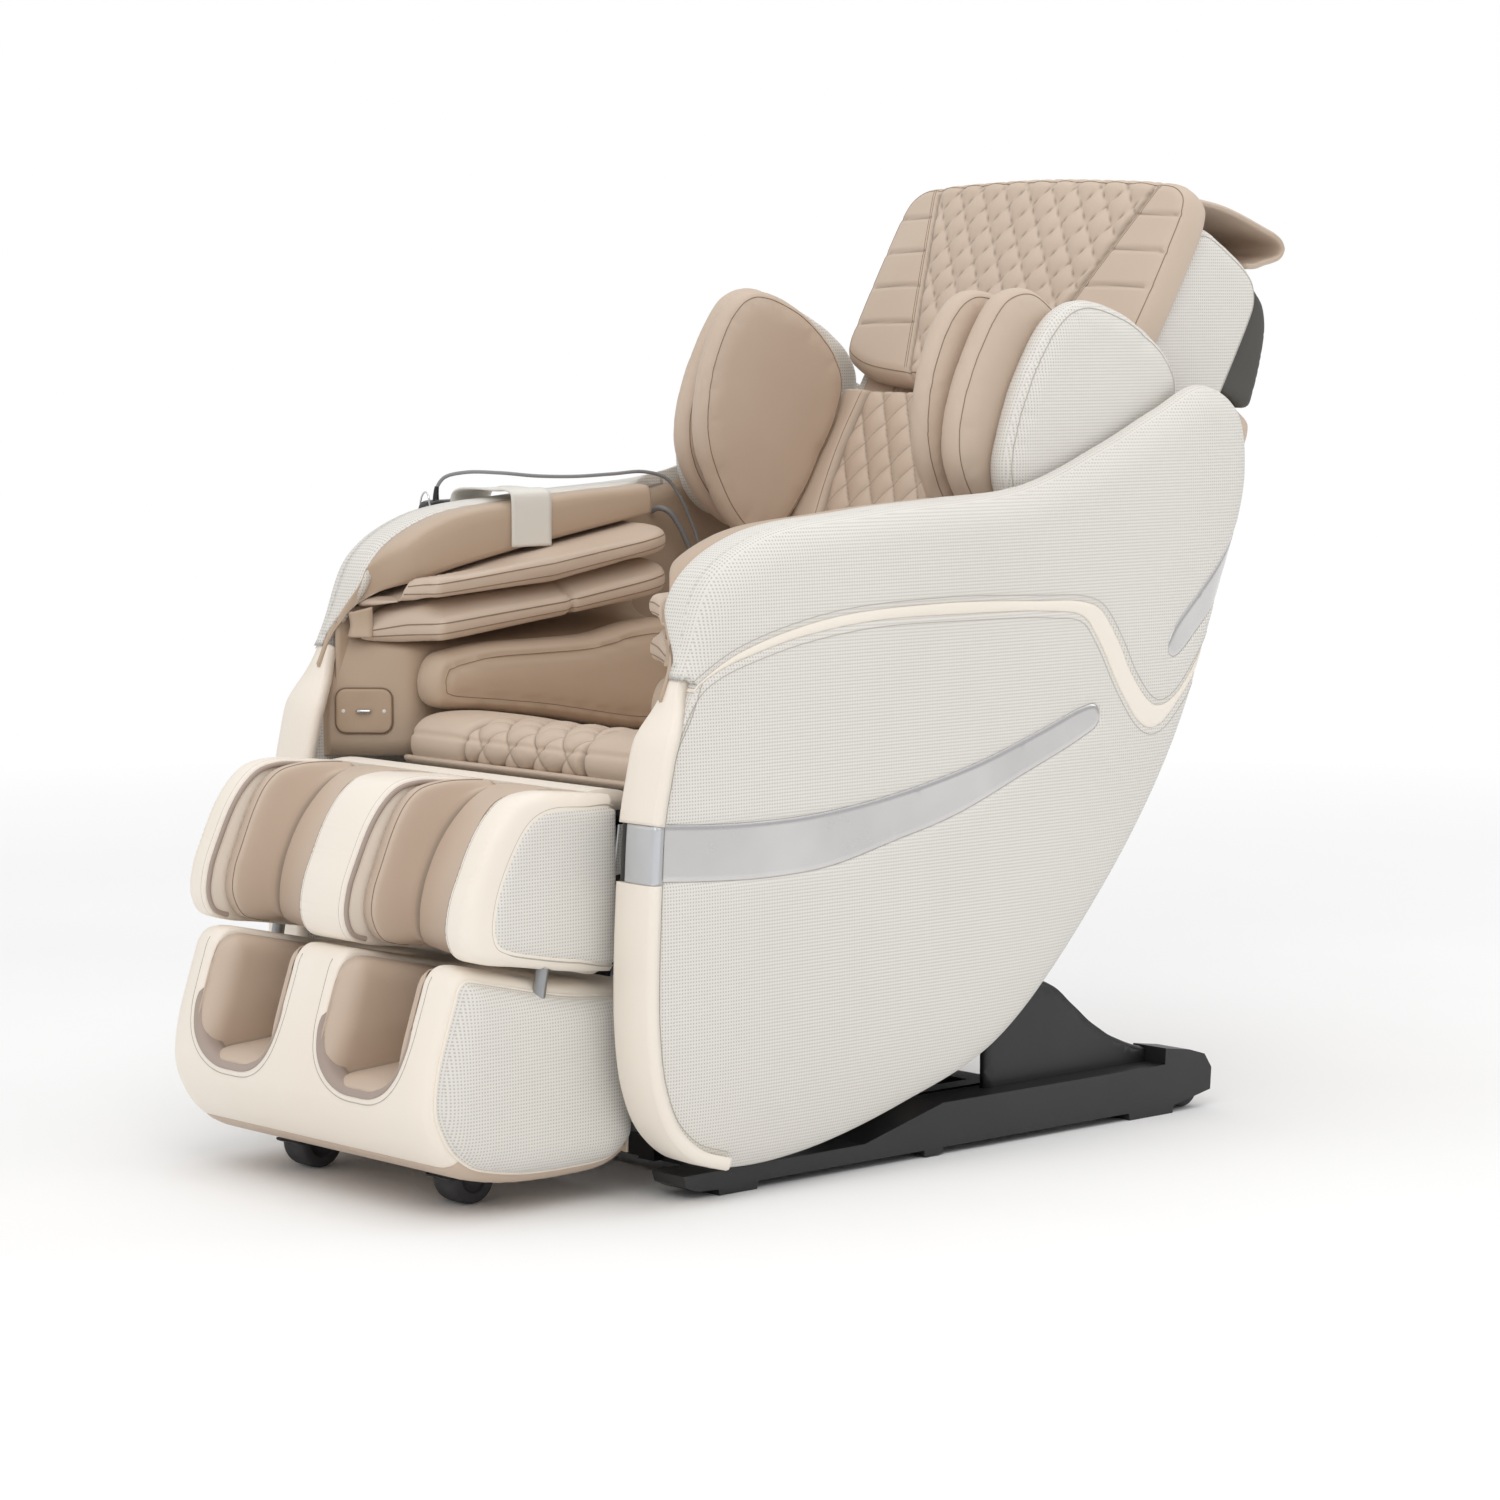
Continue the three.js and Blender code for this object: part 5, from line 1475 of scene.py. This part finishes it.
def add_calf_channels():
    """The two padded calf channels, with piping, threads and seams."""
    low, high = CHANNEL
    x = np.concatenate([np.linspace(low, low + 0.046, 34), np.linspace(low + 0.048, high - 0.048, 30),
                        np.linspace(high - 0.046, high, 34)])
    e = np.minimum(x - low, high - x)
    ridge = rounded(np.minimum(e, np.maximum(0.034 - e, 0)), 0.016, 2.0)
    fall = 1 - step_up(e, 0.027, 0.041)
    dome = 0.005 * np.sin(np.clip((e - 0.040) / 0.06, 0, 1) * math.pi / 2) ** 1.5
    groove = 0.004 * np.exp(-((e - 0.040) / 0.0022) ** 2)
    inward = -outward(TROUGH)
    inward = inward if inward[80, 0] > 0 else -inward
    s = np.linspace(0, 1, len(RIDGE))
    grid = []
    for i in range(len(RIDGE)):
        taper = rounded(s[i], 0.05) * rounded(1 - s[i], 0.20)
        line = mix(TROUGH[i][None, :] - inward[i] * (dome * taper)[:, None],
                   RIDGE[i][None, :] + inward[i] * ((1 - ridge) * 0.014)[:, None], fall[:, None])
        line = line + inward[i] * (groove * taper)[:, None]
        grid.append(np.column_stack([x, line]))
    # painted shade in the groove beside each roll, for the seam attribute
    shade = np.repeat(np.clip(groove / 0.004 * 1.3 - 0.3, 0, 1)[None, :], len(RIDGE), axis=0)
    piece = grid_piece("calf_channel_left", np.array(grid), TAN_SEAM_SHADE, "legrest")
    face_towards(piece, (0, -1, 0))
    mark(piece, "seam", shade)
    shell(piece, 0.0022)
    pair(piece, "legrest", "tan_leather", "calf_pad")
    edge_in = CALF[(CALF[:, 1] > 0.312) & (CALF[:, 0] < -0.515)]
    inner = -outward(edge_in)
    inner = inner if inner[len(inner) // 2, 0] > 0 else -inner
    for k, at in enumerate((low + 0.0015, high - 0.0015)):
        path = edge_in + inner * 0.0065
        band = tube(f"calf_piping{k}_left", np.column_stack([np.full(len(path), at), path]), 0.0032,
                    PIPING, "legrest", sides=10)
        pair(band, "legrest", "tan_leather")
        path = edge_in + inner * 0.0003
        off = at + (-0.0075 if k == 0 else 0.0075)
        twin(tube(f"calf_stitch{k}_left", np.column_stack([np.full(len(path), off), path]), 0.0005,
                  PALE_THREAD, "legrest", sides=5), "legrest")
    for k, at in enumerate((low + 0.0235, high - 0.0235)):
        run = np.arange(8, len(RIDGE) - 10)
        into = np.column_stack([np.zeros(len(run)), inward[run]])
        origins = np.column_stack([np.full(len(run), at), RIDGE[run]]) - into * 0.04
        twin(stitch(f"calf_roll_seam{k}_left", piece, origins, into, "legrest"), "legrest")


def add_calf_sides():
    """The perforated panels on the calf rest's sides."""
    loop = smooth(mm([[-499, 299], [-560, 305], [-620, 315], [-664, 325], [-682, 334], [-688, 350],
                      [-684, 384], [-672, 416], [-650, 455], [-634, 474], [-618, 484], [-596, 489],
                      [-550, 487], [-499, 482], [-498.5, 440], [-498.5, 390],
                      [-498.5, 340]]), 200, closed=True)
    loop[:, 0] = np.minimum(loop[:, 0], -0.4985)
    piece = pad("calf_side_panel_left", loop, lambda w, h: np.column_stack([0.2835 + h, w]),
                0.0050, 0.004, 0.014, PERFORATED, "legrest")
    pair(piece, "legrest", "perforated_leather")
    ring = inset(loop, -0.003)
    ring = opened(ring[ring[:, 0] < -0.502])
    twin(tube("calf_side_seam_left", np.column_stack([np.full(len(ring), 0.2848), ring]), 0.0009, PALE_THREAD,
              "legrest", sides=6), "legrest")


# ------------------------------------------------------------------ foot rest
FOOT = smooth(mm([[-458, 54], [-480, 42], [-505, 36], [-550, 34], [-593, 34], [-640, 37], [-685, 45],
                  [-712, 53], [-733, 66], [-752, 84], [-766, 107], [-775, 130], [-777, 151], [-774, 180],
                  [-767, 209], [-757, 240], [-746, 272], [-739, 291], [-730, 302], [-720, 307.5],
                  [-706, 307.5], [-680, 302], [-640, 293], [-600, 284], [-560, 276], [-500, 270],
                  [-458, 268]]), 420)
FOOT_IN = -outward(FOOT)
FOOT_IN = FOOT_IN if FOOT_IN[150, 0] > 0 or FOOT_IN[100, 1] > 0 else -FOOT_IN
FOOT_RUN = np.concatenate([[0], np.cumsum(np.linalg.norm(np.diff(FOOT, axis=0), axis=1))])
FOOT_SIDE = 0.262
FOOT_ROLL = 0.017
WELL = (0.047, 0.209)
WELL_BACK = -0.548
WELL_LIP = 0.153
UNDER_SEAM = 0.066
CASTER_X = 0.153


def foot_run_at(condition):
    """Distance along the outline of the first point that meets the condition."""
    return FOOT_RUN[int(np.argmax(condition))]


def well_loop():
    """A foot well's mouth, as (x, run along the outline): a U that reaches over the top."""
    s_lip = foot_run_at((FOOT[:, 1] > WELL_LIP) & (FOOT[:, 0] < -0.7))
    s_back = foot_run_at((FOOT[:, 1] > 0.25) & (FOOT[:, 0] > WELL_BACK))
    a, b = WELL
    mid = (a + b) / 2
    half = (s_lip + s_back) / 2
    return smooth([[mid, s_lip], [mid + 0.028, s_lip + 0.0015], [mid + 0.052, s_lip + 0.012],
                   [b - 0.011, s_lip + 0.032], [b - 0.002, s_lip + 0.062], [b, s_lip + 0.10], [b, half],
                   [b, s_back - 0.06], [b - 0.004, s_back - 0.02], [b - 0.020, s_back - 0.003], [mid, s_back],
                   [a + 0.020, s_back - 0.003], [a + 0.004, s_back - 0.02], [a, s_back - 0.06],
                   [a, half], [a, s_lip + 0.10], [a + 0.002, s_lip + 0.062], [a + 0.011, s_lip + 0.032],
                   [mid - 0.052, s_lip + 0.012], [mid - 0.028, s_lip + 0.0015]], 170, closed=True)


def foot_skin(where, sink):
    """Points (x, run) put on the foot rest's outer surface, sunk inwards by sink."""
    x, s = where[:, 0], where[:, 1]
    y = np.interp(s, FOOT_RUN, FOOT[:, 0])
    z = np.interp(s, FOOT_RUN, FOOT[:, 1])
    ny = np.interp(s, FOOT_RUN, FOOT_IN[:, 0])
    nz = np.interp(s, FOOT_RUN, FOOT_IN[:, 1])
    return np.column_stack([x, y + ny * sink, z + nz * sink])


def foot_sink(where, holes):
    """How far the foot rest's skin lies under its outline: rolled sides and well mouths."""
    x = where[:, 0]
    sink = FOOT_ROLL * (1 - rounded(FOOT_SIDE - np.abs(x), 0.030, 2.0))
    if holes:
        d = np.min([distance(where, h, True) for h in holes], axis=0)
        sink = sink + 0.010 * (1 - rounded(d, 0.013, 2.0))
    return sink


def add_foot():
    """The foot rest: its skin round the wells and the caster pockets, then its parts."""
    right = well_loop()
    left = (right * [-1, 1])[::-1]
    s_low = foot_run_at(FOOT[:, 0] < -0.594)
    s_high = foot_run_at(FOOT[:, 0] < -0.671)
    pockets = [spaced(np.array([[x - 0.028, s_low], [x + 0.028, s_low], [x + 0.028, s_high],
                                [x - 0.028, s_high], [x - 0.028, s_low]]), 60, closed=True)
               for x in (-CASTER_X, CASTER_X)]
    end = FOOT_RUN[-1]
    edge = spaced(np.array([[-FOOT_SIDE, 0], [FOOT_SIDE, 0], [FOOT_SIDE, end], [-FOOT_SIDE, end],
                            [-FOOT_SIDE, 0]]), 520, closed=True)
    s_seam = foot_run_at((FOOT[:, 1] > UNDER_SEAM) & (FOOT[:, 0] < -0.7))
    seam = np.column_stack([np.linspace(-FOOT_SIDE + 0.0004, FOOT_SIDE - 0.0004, 120), np.full(120, s_seam)])
    where, faces = triangles([edge, right, left] + pockets, 0.013, [0.0016, 0.0042, 0.008, 0.012], [seam])
    centre = where[faces].mean(1)
    open_here = inside(centre, right) | inside(centre, left)
    for p in pockets:
        open_here |= inside(centre, p)
    for name, chosen, material in (("foot_shell_cover", ~open_here & (centre[:, 1] > s_seam), IVORY),
                                   ("foot_under_cover", ~open_here & (centre[:, 1] <= s_seam), TAN)):
        p, f, rim = region(where, faces[chosen])
        sink = foot_sink(p, [right, left]) + seam_drop(p, [(seam, False)], 0.005, 0.0016)
        part = solid_between(foot_skin(p, sink), foot_skin(p, sink + 0.0035), f, rim)
        piece = joined(name, [part], material, "footrest")
        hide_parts("foot_shell")
        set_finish(piece, "ivory_leather" if material is IVORY else "tan_leather")
    x = np.linspace(-FOOT_SIDE, FOOT_SIDE, 40)
    rows = []
    for z in np.linspace(0.055, 0.267, 16):
        bulge = 0.0025 * math.sin((z - 0.055) / 0.212 * math.pi)
        rows.append(np.column_stack([x, np.full(40, -0.4605 + bulge), np.full(40, z)]))
    rear = grid_piece("foot_rear_cover", np.array(rows), TAN, "footrest", thickness=0.003)
    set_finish(rear, "tan_leather")
    add_foot_wells(right, left)
    add_foot_sides()
    add_casters()


def add_foot_wells(right, left):
    """The two foot wells: ribbons round their mouths, linings and back pads."""
    for k, loop in (("left", right), ("right", left)):
        sign = 1 if k == "left" else -1
        lip = np.roll(loop, -int(np.argmax(loop[:, 1])), axis=0)
        lip = lip[lip[:, 1] < lip[:, 1].min() + 0.085]
        n = outward(lip)
        mid = np.array([sign * 0.128, lip[:, 1].min() + 0.06])
        flip = -1 if (n[len(n) // 2] @ (lip[len(n) // 2] - mid)) < 0 else 1
        rows = []
        share = np.linspace(0, 1, len(lip))
        fade = rounded(share, 0.10) * rounded(1 - share, 0.10)
        for off, deep in ((-0.0006, 0.030), (-0.0009, 0.020), (-0.0011, 0.0115), (-0.0006, 0.0082),
                          (0.0008, None), (0.0024, None), (0.005, None), (0.0075, None), (0.0092, None),
                          (0.0100, None)):
            p = lip + n * flip * (off if deep else off * (0.3 + 0.7 * fade[:, None]))
            clear = 0.0013 if off < 0.0095 else -0.0006
            rows.append(foot_skin(p, deep or foot_sink(p, [loop]) - clear))
        ribbon = grid_piece(f"well_ribbon_{k}", np.array(rows), PIPING, "footrest")
        face_towards(ribbon, (0, -1, 0))
        shell(ribbon, 0.0018)
        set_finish(ribbon, "tan_leather")
        outer = opened(loop[loop[:, 1] < foot_run_at(FOOT[:, 1] > 0.30)], 0.03)
        m = outward(outer)
        g = -1 if (m[len(m) // 2] @ (outer[len(m) // 2] - mid)) < 0 else 1
        path = outer + m * g * 0.0165
        tube(f"well_stitch_{k}", foot_skin(path, foot_sink(path, [loop]) - 0.0001), 0.0005, PALE_THREAD,
             "footrest", sides=5)
    z_line = FOOT[(FOOT[:, 0] < -0.7) & (FOOT[:, 1] > 0.150)]
    top = FOOT[(FOOT[:, 1] > 0.26) & (FOOT[:, 0] > -0.725)]

    def mouth(y):
        """Height of the surface above the well at y."""
        front = z_line[z_line[:, 0] <= -0.7255]
        if y < -0.7255:
            return float(np.interp(y, front[:, 0], front[:, 1]))
        return float(np.interp(y, top[:, 0], top[:, 1]))

    rows, shade = [], []
    a, b = WELL
    for y in np.concatenate([np.linspace(-0.7725, -0.745, 16), np.linspace(-0.742, WELL_BACK + 0.002, 46)]):
        floor = float(np.interp(y, [-0.7725, -0.768, -0.762, -0.752, -0.735, -0.70, -0.56],
                                [0.1515, 0.1540, 0.1562, 0.1590, 0.1612, 0.1632, 0.173]))
        high = max(mouth(y) - 0.007, floor + 0.004)
        tall = high - floor
        z_wall = floor + tall * np.linspace(1, 0, 26) ** 1.1
        flat = np.column_stack([np.full(26, y), z_wall])
        d_out = distance(flat, FOOT) - 0.005
        depth = np.clip(high - z_wall, 0, 1)
        narrow = 1 - 0.22 * (1 - np.clip((z_wall - floor) / 0.05, 0, 1))
        swell = rounded(np.minimum(d_out, depth + 0.002), 0.030, 2.1) * narrow
        x_wall = a + 0.0006 + 0.0252 * swell
        u = np.linspace(0, 1, 22)[1:-1]
        crown = 0.0065 * np.sin(u * math.pi) ** 0.7 * rounded(abs(y + 0.7725), 0.03)
        x_floor = mix(x_wall[-1], b + a - x_wall[-1], u)
        row = np.vstack([np.column_stack([x_wall, z_wall]), np.column_stack([x_floor, floor + crown]),
                         np.column_stack([a + b - x_wall[::-1], z_wall[::-1]])])
        rows.append(np.column_stack([row[:, 0], np.full(len(row), y), row[:, 1]]))
        # painted shade where the walls meet the floor, for the seam attribute
        line = np.zeros(len(row))
        line[[25, len(row) - 26]] = 0.9
        shade.append(line)
    piece = grid_piece("foot_well_lining_left", np.array(rows), TAN_SEAM_SHADE, "footrest")
    n, m = np.shape(rows)[:2]
    middle = piece.data.polygons[(n // 2) * (m - 1) + m // 2]
    if middle.normal.z < 0:
        piece.data.flip_normals()
    mark(piece, "seam", np.array(shade))
    shell(piece, 0.002)
    pair(piece, "footrest", "tan_leather", "foot_pad")
    loop = smooth(mm([[50, 180], [52, 167], [70, 163], [128, 162], [186, 163], [204, 167], [206, 180],
                      [206, 230], [205, 256], [190, 266], [128, 267], [66, 266], [51, 256],
                      [50, 230]]), 120, closed=True)
    wall = pad("foot_well_back_left", loop, lambda w, h: np.column_stack([w[:, 0], -0.5475 - h, w[:, 1]]),
               0.012, 0.003, 0.022, TAN, "footrest", spacing=0.008)
    pair(wall, "footrest", "tan_leather")


def add_foot_sides():
    """The perforated panels on the foot rest's sides, with piping."""
    loop = np.vstack([FOOT, mm([[-458, 220], [-458, 160], [-458, 100]])])
    ring = inset(loop, FOOT_ROLL - 0.001)
    ring = ring[(np.arange(len(ring)) > 16) & (np.arange(len(ring)) < 404)]
    rear = mm([[-462, 244], [-460.5, 200], [-460, 160], [-460.5, 110], [-464, 76]])
    ring = smooth(np.vstack([ring[::9], rear]), 240, closed=True)
    ring[:, 0] = np.minimum(ring[:, 0], -0.4605)
    piece = pad("foot_side_panel_left", ring, lambda w, h: np.column_stack([FOOT_SIDE - 0.0015 + h, w]),
                0.0240, 0.002, 0.034, PERFORATED, "footrest", spacing=0.010, crown=0.06)
    pair(piece, "footrest", "perforated_leather")
    line = opened(ring[ring[:, 0] < -0.466])
    trim = tube("foot_side_piping_left", np.column_stack([np.full(len(line), FOOT_SIDE + 0.0005), line]),
                0.0022, IVORY, "footrest", sides=8)
    pair(trim, "footrest", "ivory_leather")


def lathe(name, centre, profile, material, body, sides=56):
    """A wheel on an axis along x, from (offset, radius) pairs."""
    rows = []
    for off, r in profile:
        a = np.arange(sides) / sides * 2 * math.pi
        rows.append(np.column_stack([np.full(sides, centre[0] + off), centre[1] + r * np.cos(a),
                                     centre[2] + r * np.sin(a)]))
    return joined(name, [stacked(rows)], material, body)


def wheel_profile(half, radius, hub):
    """Half section of a tyre with a rounded shoulder, as (offset, radius) pairs."""
    lip = smooth([[half * 0.80, hub], [half * 0.96, hub + 0.002], [half, radius - 0.007],
                  [half * 0.93, radius - 0.0022], [half * 0.72, radius], [0, radius]], 26)
    return [(half * 0.80, 0.004), *lip, *(lip[::-1][1:] * [-1, 1]), (-half * 0.80, 0.004)]


def add_casters():
    """The wheels under the foot rest and at the base's rear."""
    for side, k in (("left", 1), ("right", -1)):
        x = k * CASTER_X
        wheel = lathe(f"caster_tyre_{side}", (x, -0.632, 0.033), wheel_profile(0.0228, 0.0325, 0.017), RUBBER,
                      f"caster_wheel_{side}")
        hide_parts(f"caster_wheel_{side}")
        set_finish(wheel, "rubber")
        loop = rounded_box_loop(0.058, 0.080, 0.006, 60)
        rows = []
        for z, shrink in ((0.0365, 0.0), (0.0345, 0.001), (0.0345, 0.0035), (0.0375, 0.0045),
                          (0.077, 0.0045)):
            p = loop * [1 - 2 * shrink / 0.058, 1 - 2 * shrink / 0.080]
            rows.append(np.column_stack([p[:, 0] + x, p[:, 1] - 0.632, np.full(60, z)]))
        housing = joined(f"caster_housing_{side}", [stacked(rows, open_start=True)], BLACK, "footrest")
        shell(housing, 0.0012)
        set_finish(housing, "base_black")
        wheel = lathe(f"rear_tyre_{side}", (k * 0.307, 0.488, 0.029), wheel_profile(0.0135, 0.0276, 0.014),
                      RUBBER, f"rear_wheel_{side}")
        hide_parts(f"rear_wheel_{side}")
        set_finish(wheel, "rubber")


def add_slide_rods():
    """The two steel rods that the foot rest slides on."""
    for side, k in (("left", 1), ("right", -1)):
        rod = tube(f"slide_rod_{side}", rod_line(k * ROD_SIDE, -0.045, 0.150), 0.0083, STEEL, "footrest",
                   sides=24)
        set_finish(rod, "steel")


# ------------------------------------------------------------------ base and mechanism
COVER_LINE = smooth(mm([[431, 88], [415, 92], [400, 97], [380, 105], [360, 114], [340, 126], [321, 138],
                        [300, 155], [282, 169], [268, 181], [255, 190], [240, 197], [225, 202], [200, 205],
                        [160, 206], [121, 206]]), 90)


def add_base():
    """The base's cover, and looks for the parts that are shown as they were modelled."""
    n = outward(COVER_LINE)
    n = n if n[45, 1] < 0 else -n
    x = np.linspace(-0.2995, 0.2995, 70)
    e = 0.2995 - np.abs(x)
    drop = 0.0035 * (1 - rounded(e, 0.012))
    rows = [np.column_stack([x, p[0] + q[0] * drop, p[1] + q[1] * drop]) for p, q in zip(COVER_LINE, n)]
    sheet = grid_piece("base_rear_cover", np.array(rows), BLACK, "base")
    face_towards(sheet, (0, 0, 1))
    shell(sheet, 0.0068)
    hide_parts("base_cover")
    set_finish(sheet, "base_black")
    loop = np.vstack([COVER_LINE + n * 0.002, mm([[121, 150], [121, 90], [121, 54], [180, 54], [260, 54],
                                                  [340, 54], [431, 54], [431, 70]])])
    cheek = joined("base_cover_side_left", [slab(loop, 0.2905, 0.2990, 0.0008, 0.0012)], BLACK, "base")
    pair(cheek, "base", "base_black")
    looks = {"base_rail_left": BLACK, "base_rail_right": BLACK, "base_frame": BLACK, "tilt_motor": GLOSS,
             "leg_motor": GLOSS, "recline_motor": GLOSS, "tilt_rod": STEEL, "leg_rod": STEEL,
             "recline_rod": STEEL, "seat_frame": BLACK, "guide_frame": STEEL, "massage_carriage": CHARCOAL,
             "massage_arm_left": TAN_PLASTIC, "massage_arm_right": TAN_PLASTIC}
    for name, material in looks.items():
        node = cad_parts[name]
        node.data.materials.clear()
        node.data.materials.append(material)
        bevel = node.modifiers.new("soft_edges", "BEVEL")
        bevel.width = 0.004 if name.startswith("base_rail") else 0.0012
        bevel.segments = 3
        bevel.limit_method = "ANGLE"
        bevel.angle_limit = math.radians(32)


# ------------------------------------------------------------------ light and floor
SKY = (1.0, 1.0, 1.0, 1)
SKY_LIGHT = 0.95


def add_light(name, where, target, size, power, colour=(1, 1, 1)):
    """A soft lamp of size (wide, high) aimed at the target."""
    lamp = bpy.data.lights.new(name, "AREA")
    lamp.shape = "RECTANGLE"
    lamp.size, lamp.size_y = size
    lamp.energy = power
    lamp.color = colour
    piece = bpy.data.objects.new(name, lamp)
    bpy.context.scene.collection.objects.link(piece)
    piece.location = where
    piece.rotation_euler = (Vector(target) - Vector(where)).to_track_quat("-Z", "Y").to_euler()


def add_studio():
    """White surroundings, four lamps and a floor that fades to white."""
    scene = bpy.context.scene
    scene.view_settings.view_transform = "Standard"
    world = bpy.data.worlds.new("studio")
    world.use_nodes = True
    tree = world.node_tree
    seen = tree.nodes["Background"]
    seen.inputs["Color"].default_value = SKY
    seen.inputs["Strength"].default_value = 1.0
    glow = tree.nodes.new("ShaderNodeBackground")
    glow.inputs["Strength"].default_value = SKY_LIGHT
    where = tree.nodes.new("ShaderNodeTexCoord")
    parts = tree.nodes.new("ShaderNodeSeparateXYZ")
    tree.links.new(where.outputs["Generated"], parts.inputs[0])
    ramp = tree.nodes.new("ShaderNodeValToRGB")
    ramp.color_ramp.elements[0].position = 0.0
    ramp.color_ramp.elements[0].color = (0.52, 0.52, 0.53, 1)
    ramp.color_ramp.elements[1].position = 0.85
    ramp.color_ramp.elements[1].color = SKY
    tree.links.new(parts.outputs["Z"], ramp.inputs[0])
    tree.links.new(ramp.outputs[0], glow.inputs["Color"])
    rays = tree.nodes.new("ShaderNodeLightPath")
    either = tree.nodes.new("ShaderNodeMixShader")
    tree.links.new(rays.outputs["Is Camera Ray"], either.inputs[0])
    tree.links.new(glow.outputs[0], either.inputs[1])
    tree.links.new(seen.outputs[0], either.inputs[2])
    tree.links.new(either.outputs[0], tree.nodes["World Output"].inputs["Surface"])
    scene.world = world
    middle = (0, 0, 0.6)
    add_light("key_light", (2.6, -2.6, 3.4), middle, (2.4, 2.4), 42, (1, 0.985, 0.965))
    add_light("front_light", (-2.6, -3.2, 1.9), middle, (2.2, 1.8), 5)
    add_light("top_light", (0.2, 0.6, 3.8), middle, (2.6, 2.6), 18)
    add_light("rim_light", (1.8, 3.0, 2.2), middle, (1.6, 1.6), 10)
    n = Nodes("studio_floor")
    where = n.place()
    drift = n.ramp(n.noise(where, 1.2, 3.0), 0.3, 0.7)
    n.link(n.colours(drift, rgb(250, 250, 250), rgb(247, 247, 247)), n.shader.inputs["Base Color"])
    n.shader.inputs["Roughness"].default_value = 0.85
    n.shader.inputs["Specular IOR Level"].default_value = 0.2
    far = n.add("ShaderNodeVectorMath", operation="LENGTH")
    n.link(where, far.inputs[0])
    haze = n.add("ShaderNodeEmission")
    haze.inputs["Color"].default_value = SKY
    haze.inputs["Strength"].default_value = 1.0
    blend = n.add("ShaderNodeMixShader")
    n.link(n.ramp(far.outputs["Value"], 1.6, 4.8), blend.inputs[0])
    n.link(n.shader.outputs[0], blend.inputs[1])
    n.link(haze.outputs[0], blend.inputs[2])
    n.link(blend.outputs[0], n.tree.nodes["Material Output"].inputs["Surface"])
    corners = [(-9, -9, 0), (9, -9, 0), (9, 9, 0), (-9, 9, 0)]
    floor = add_mesh("studio_floor", corners, [(0, 1, 2, 3)], n.material)


add_leads()
add_arm_faces()
add_arm_lining()
add_forearm_pads()
add_hip_pads()
add_control_pod()
add_remote()
add_seat()
add_back_cushion()
add_pillow()
add_flap()
add_back_shell()
add_wings()
add_calf()
add_foot()
add_slide_rods()
add_base()
add_studio()
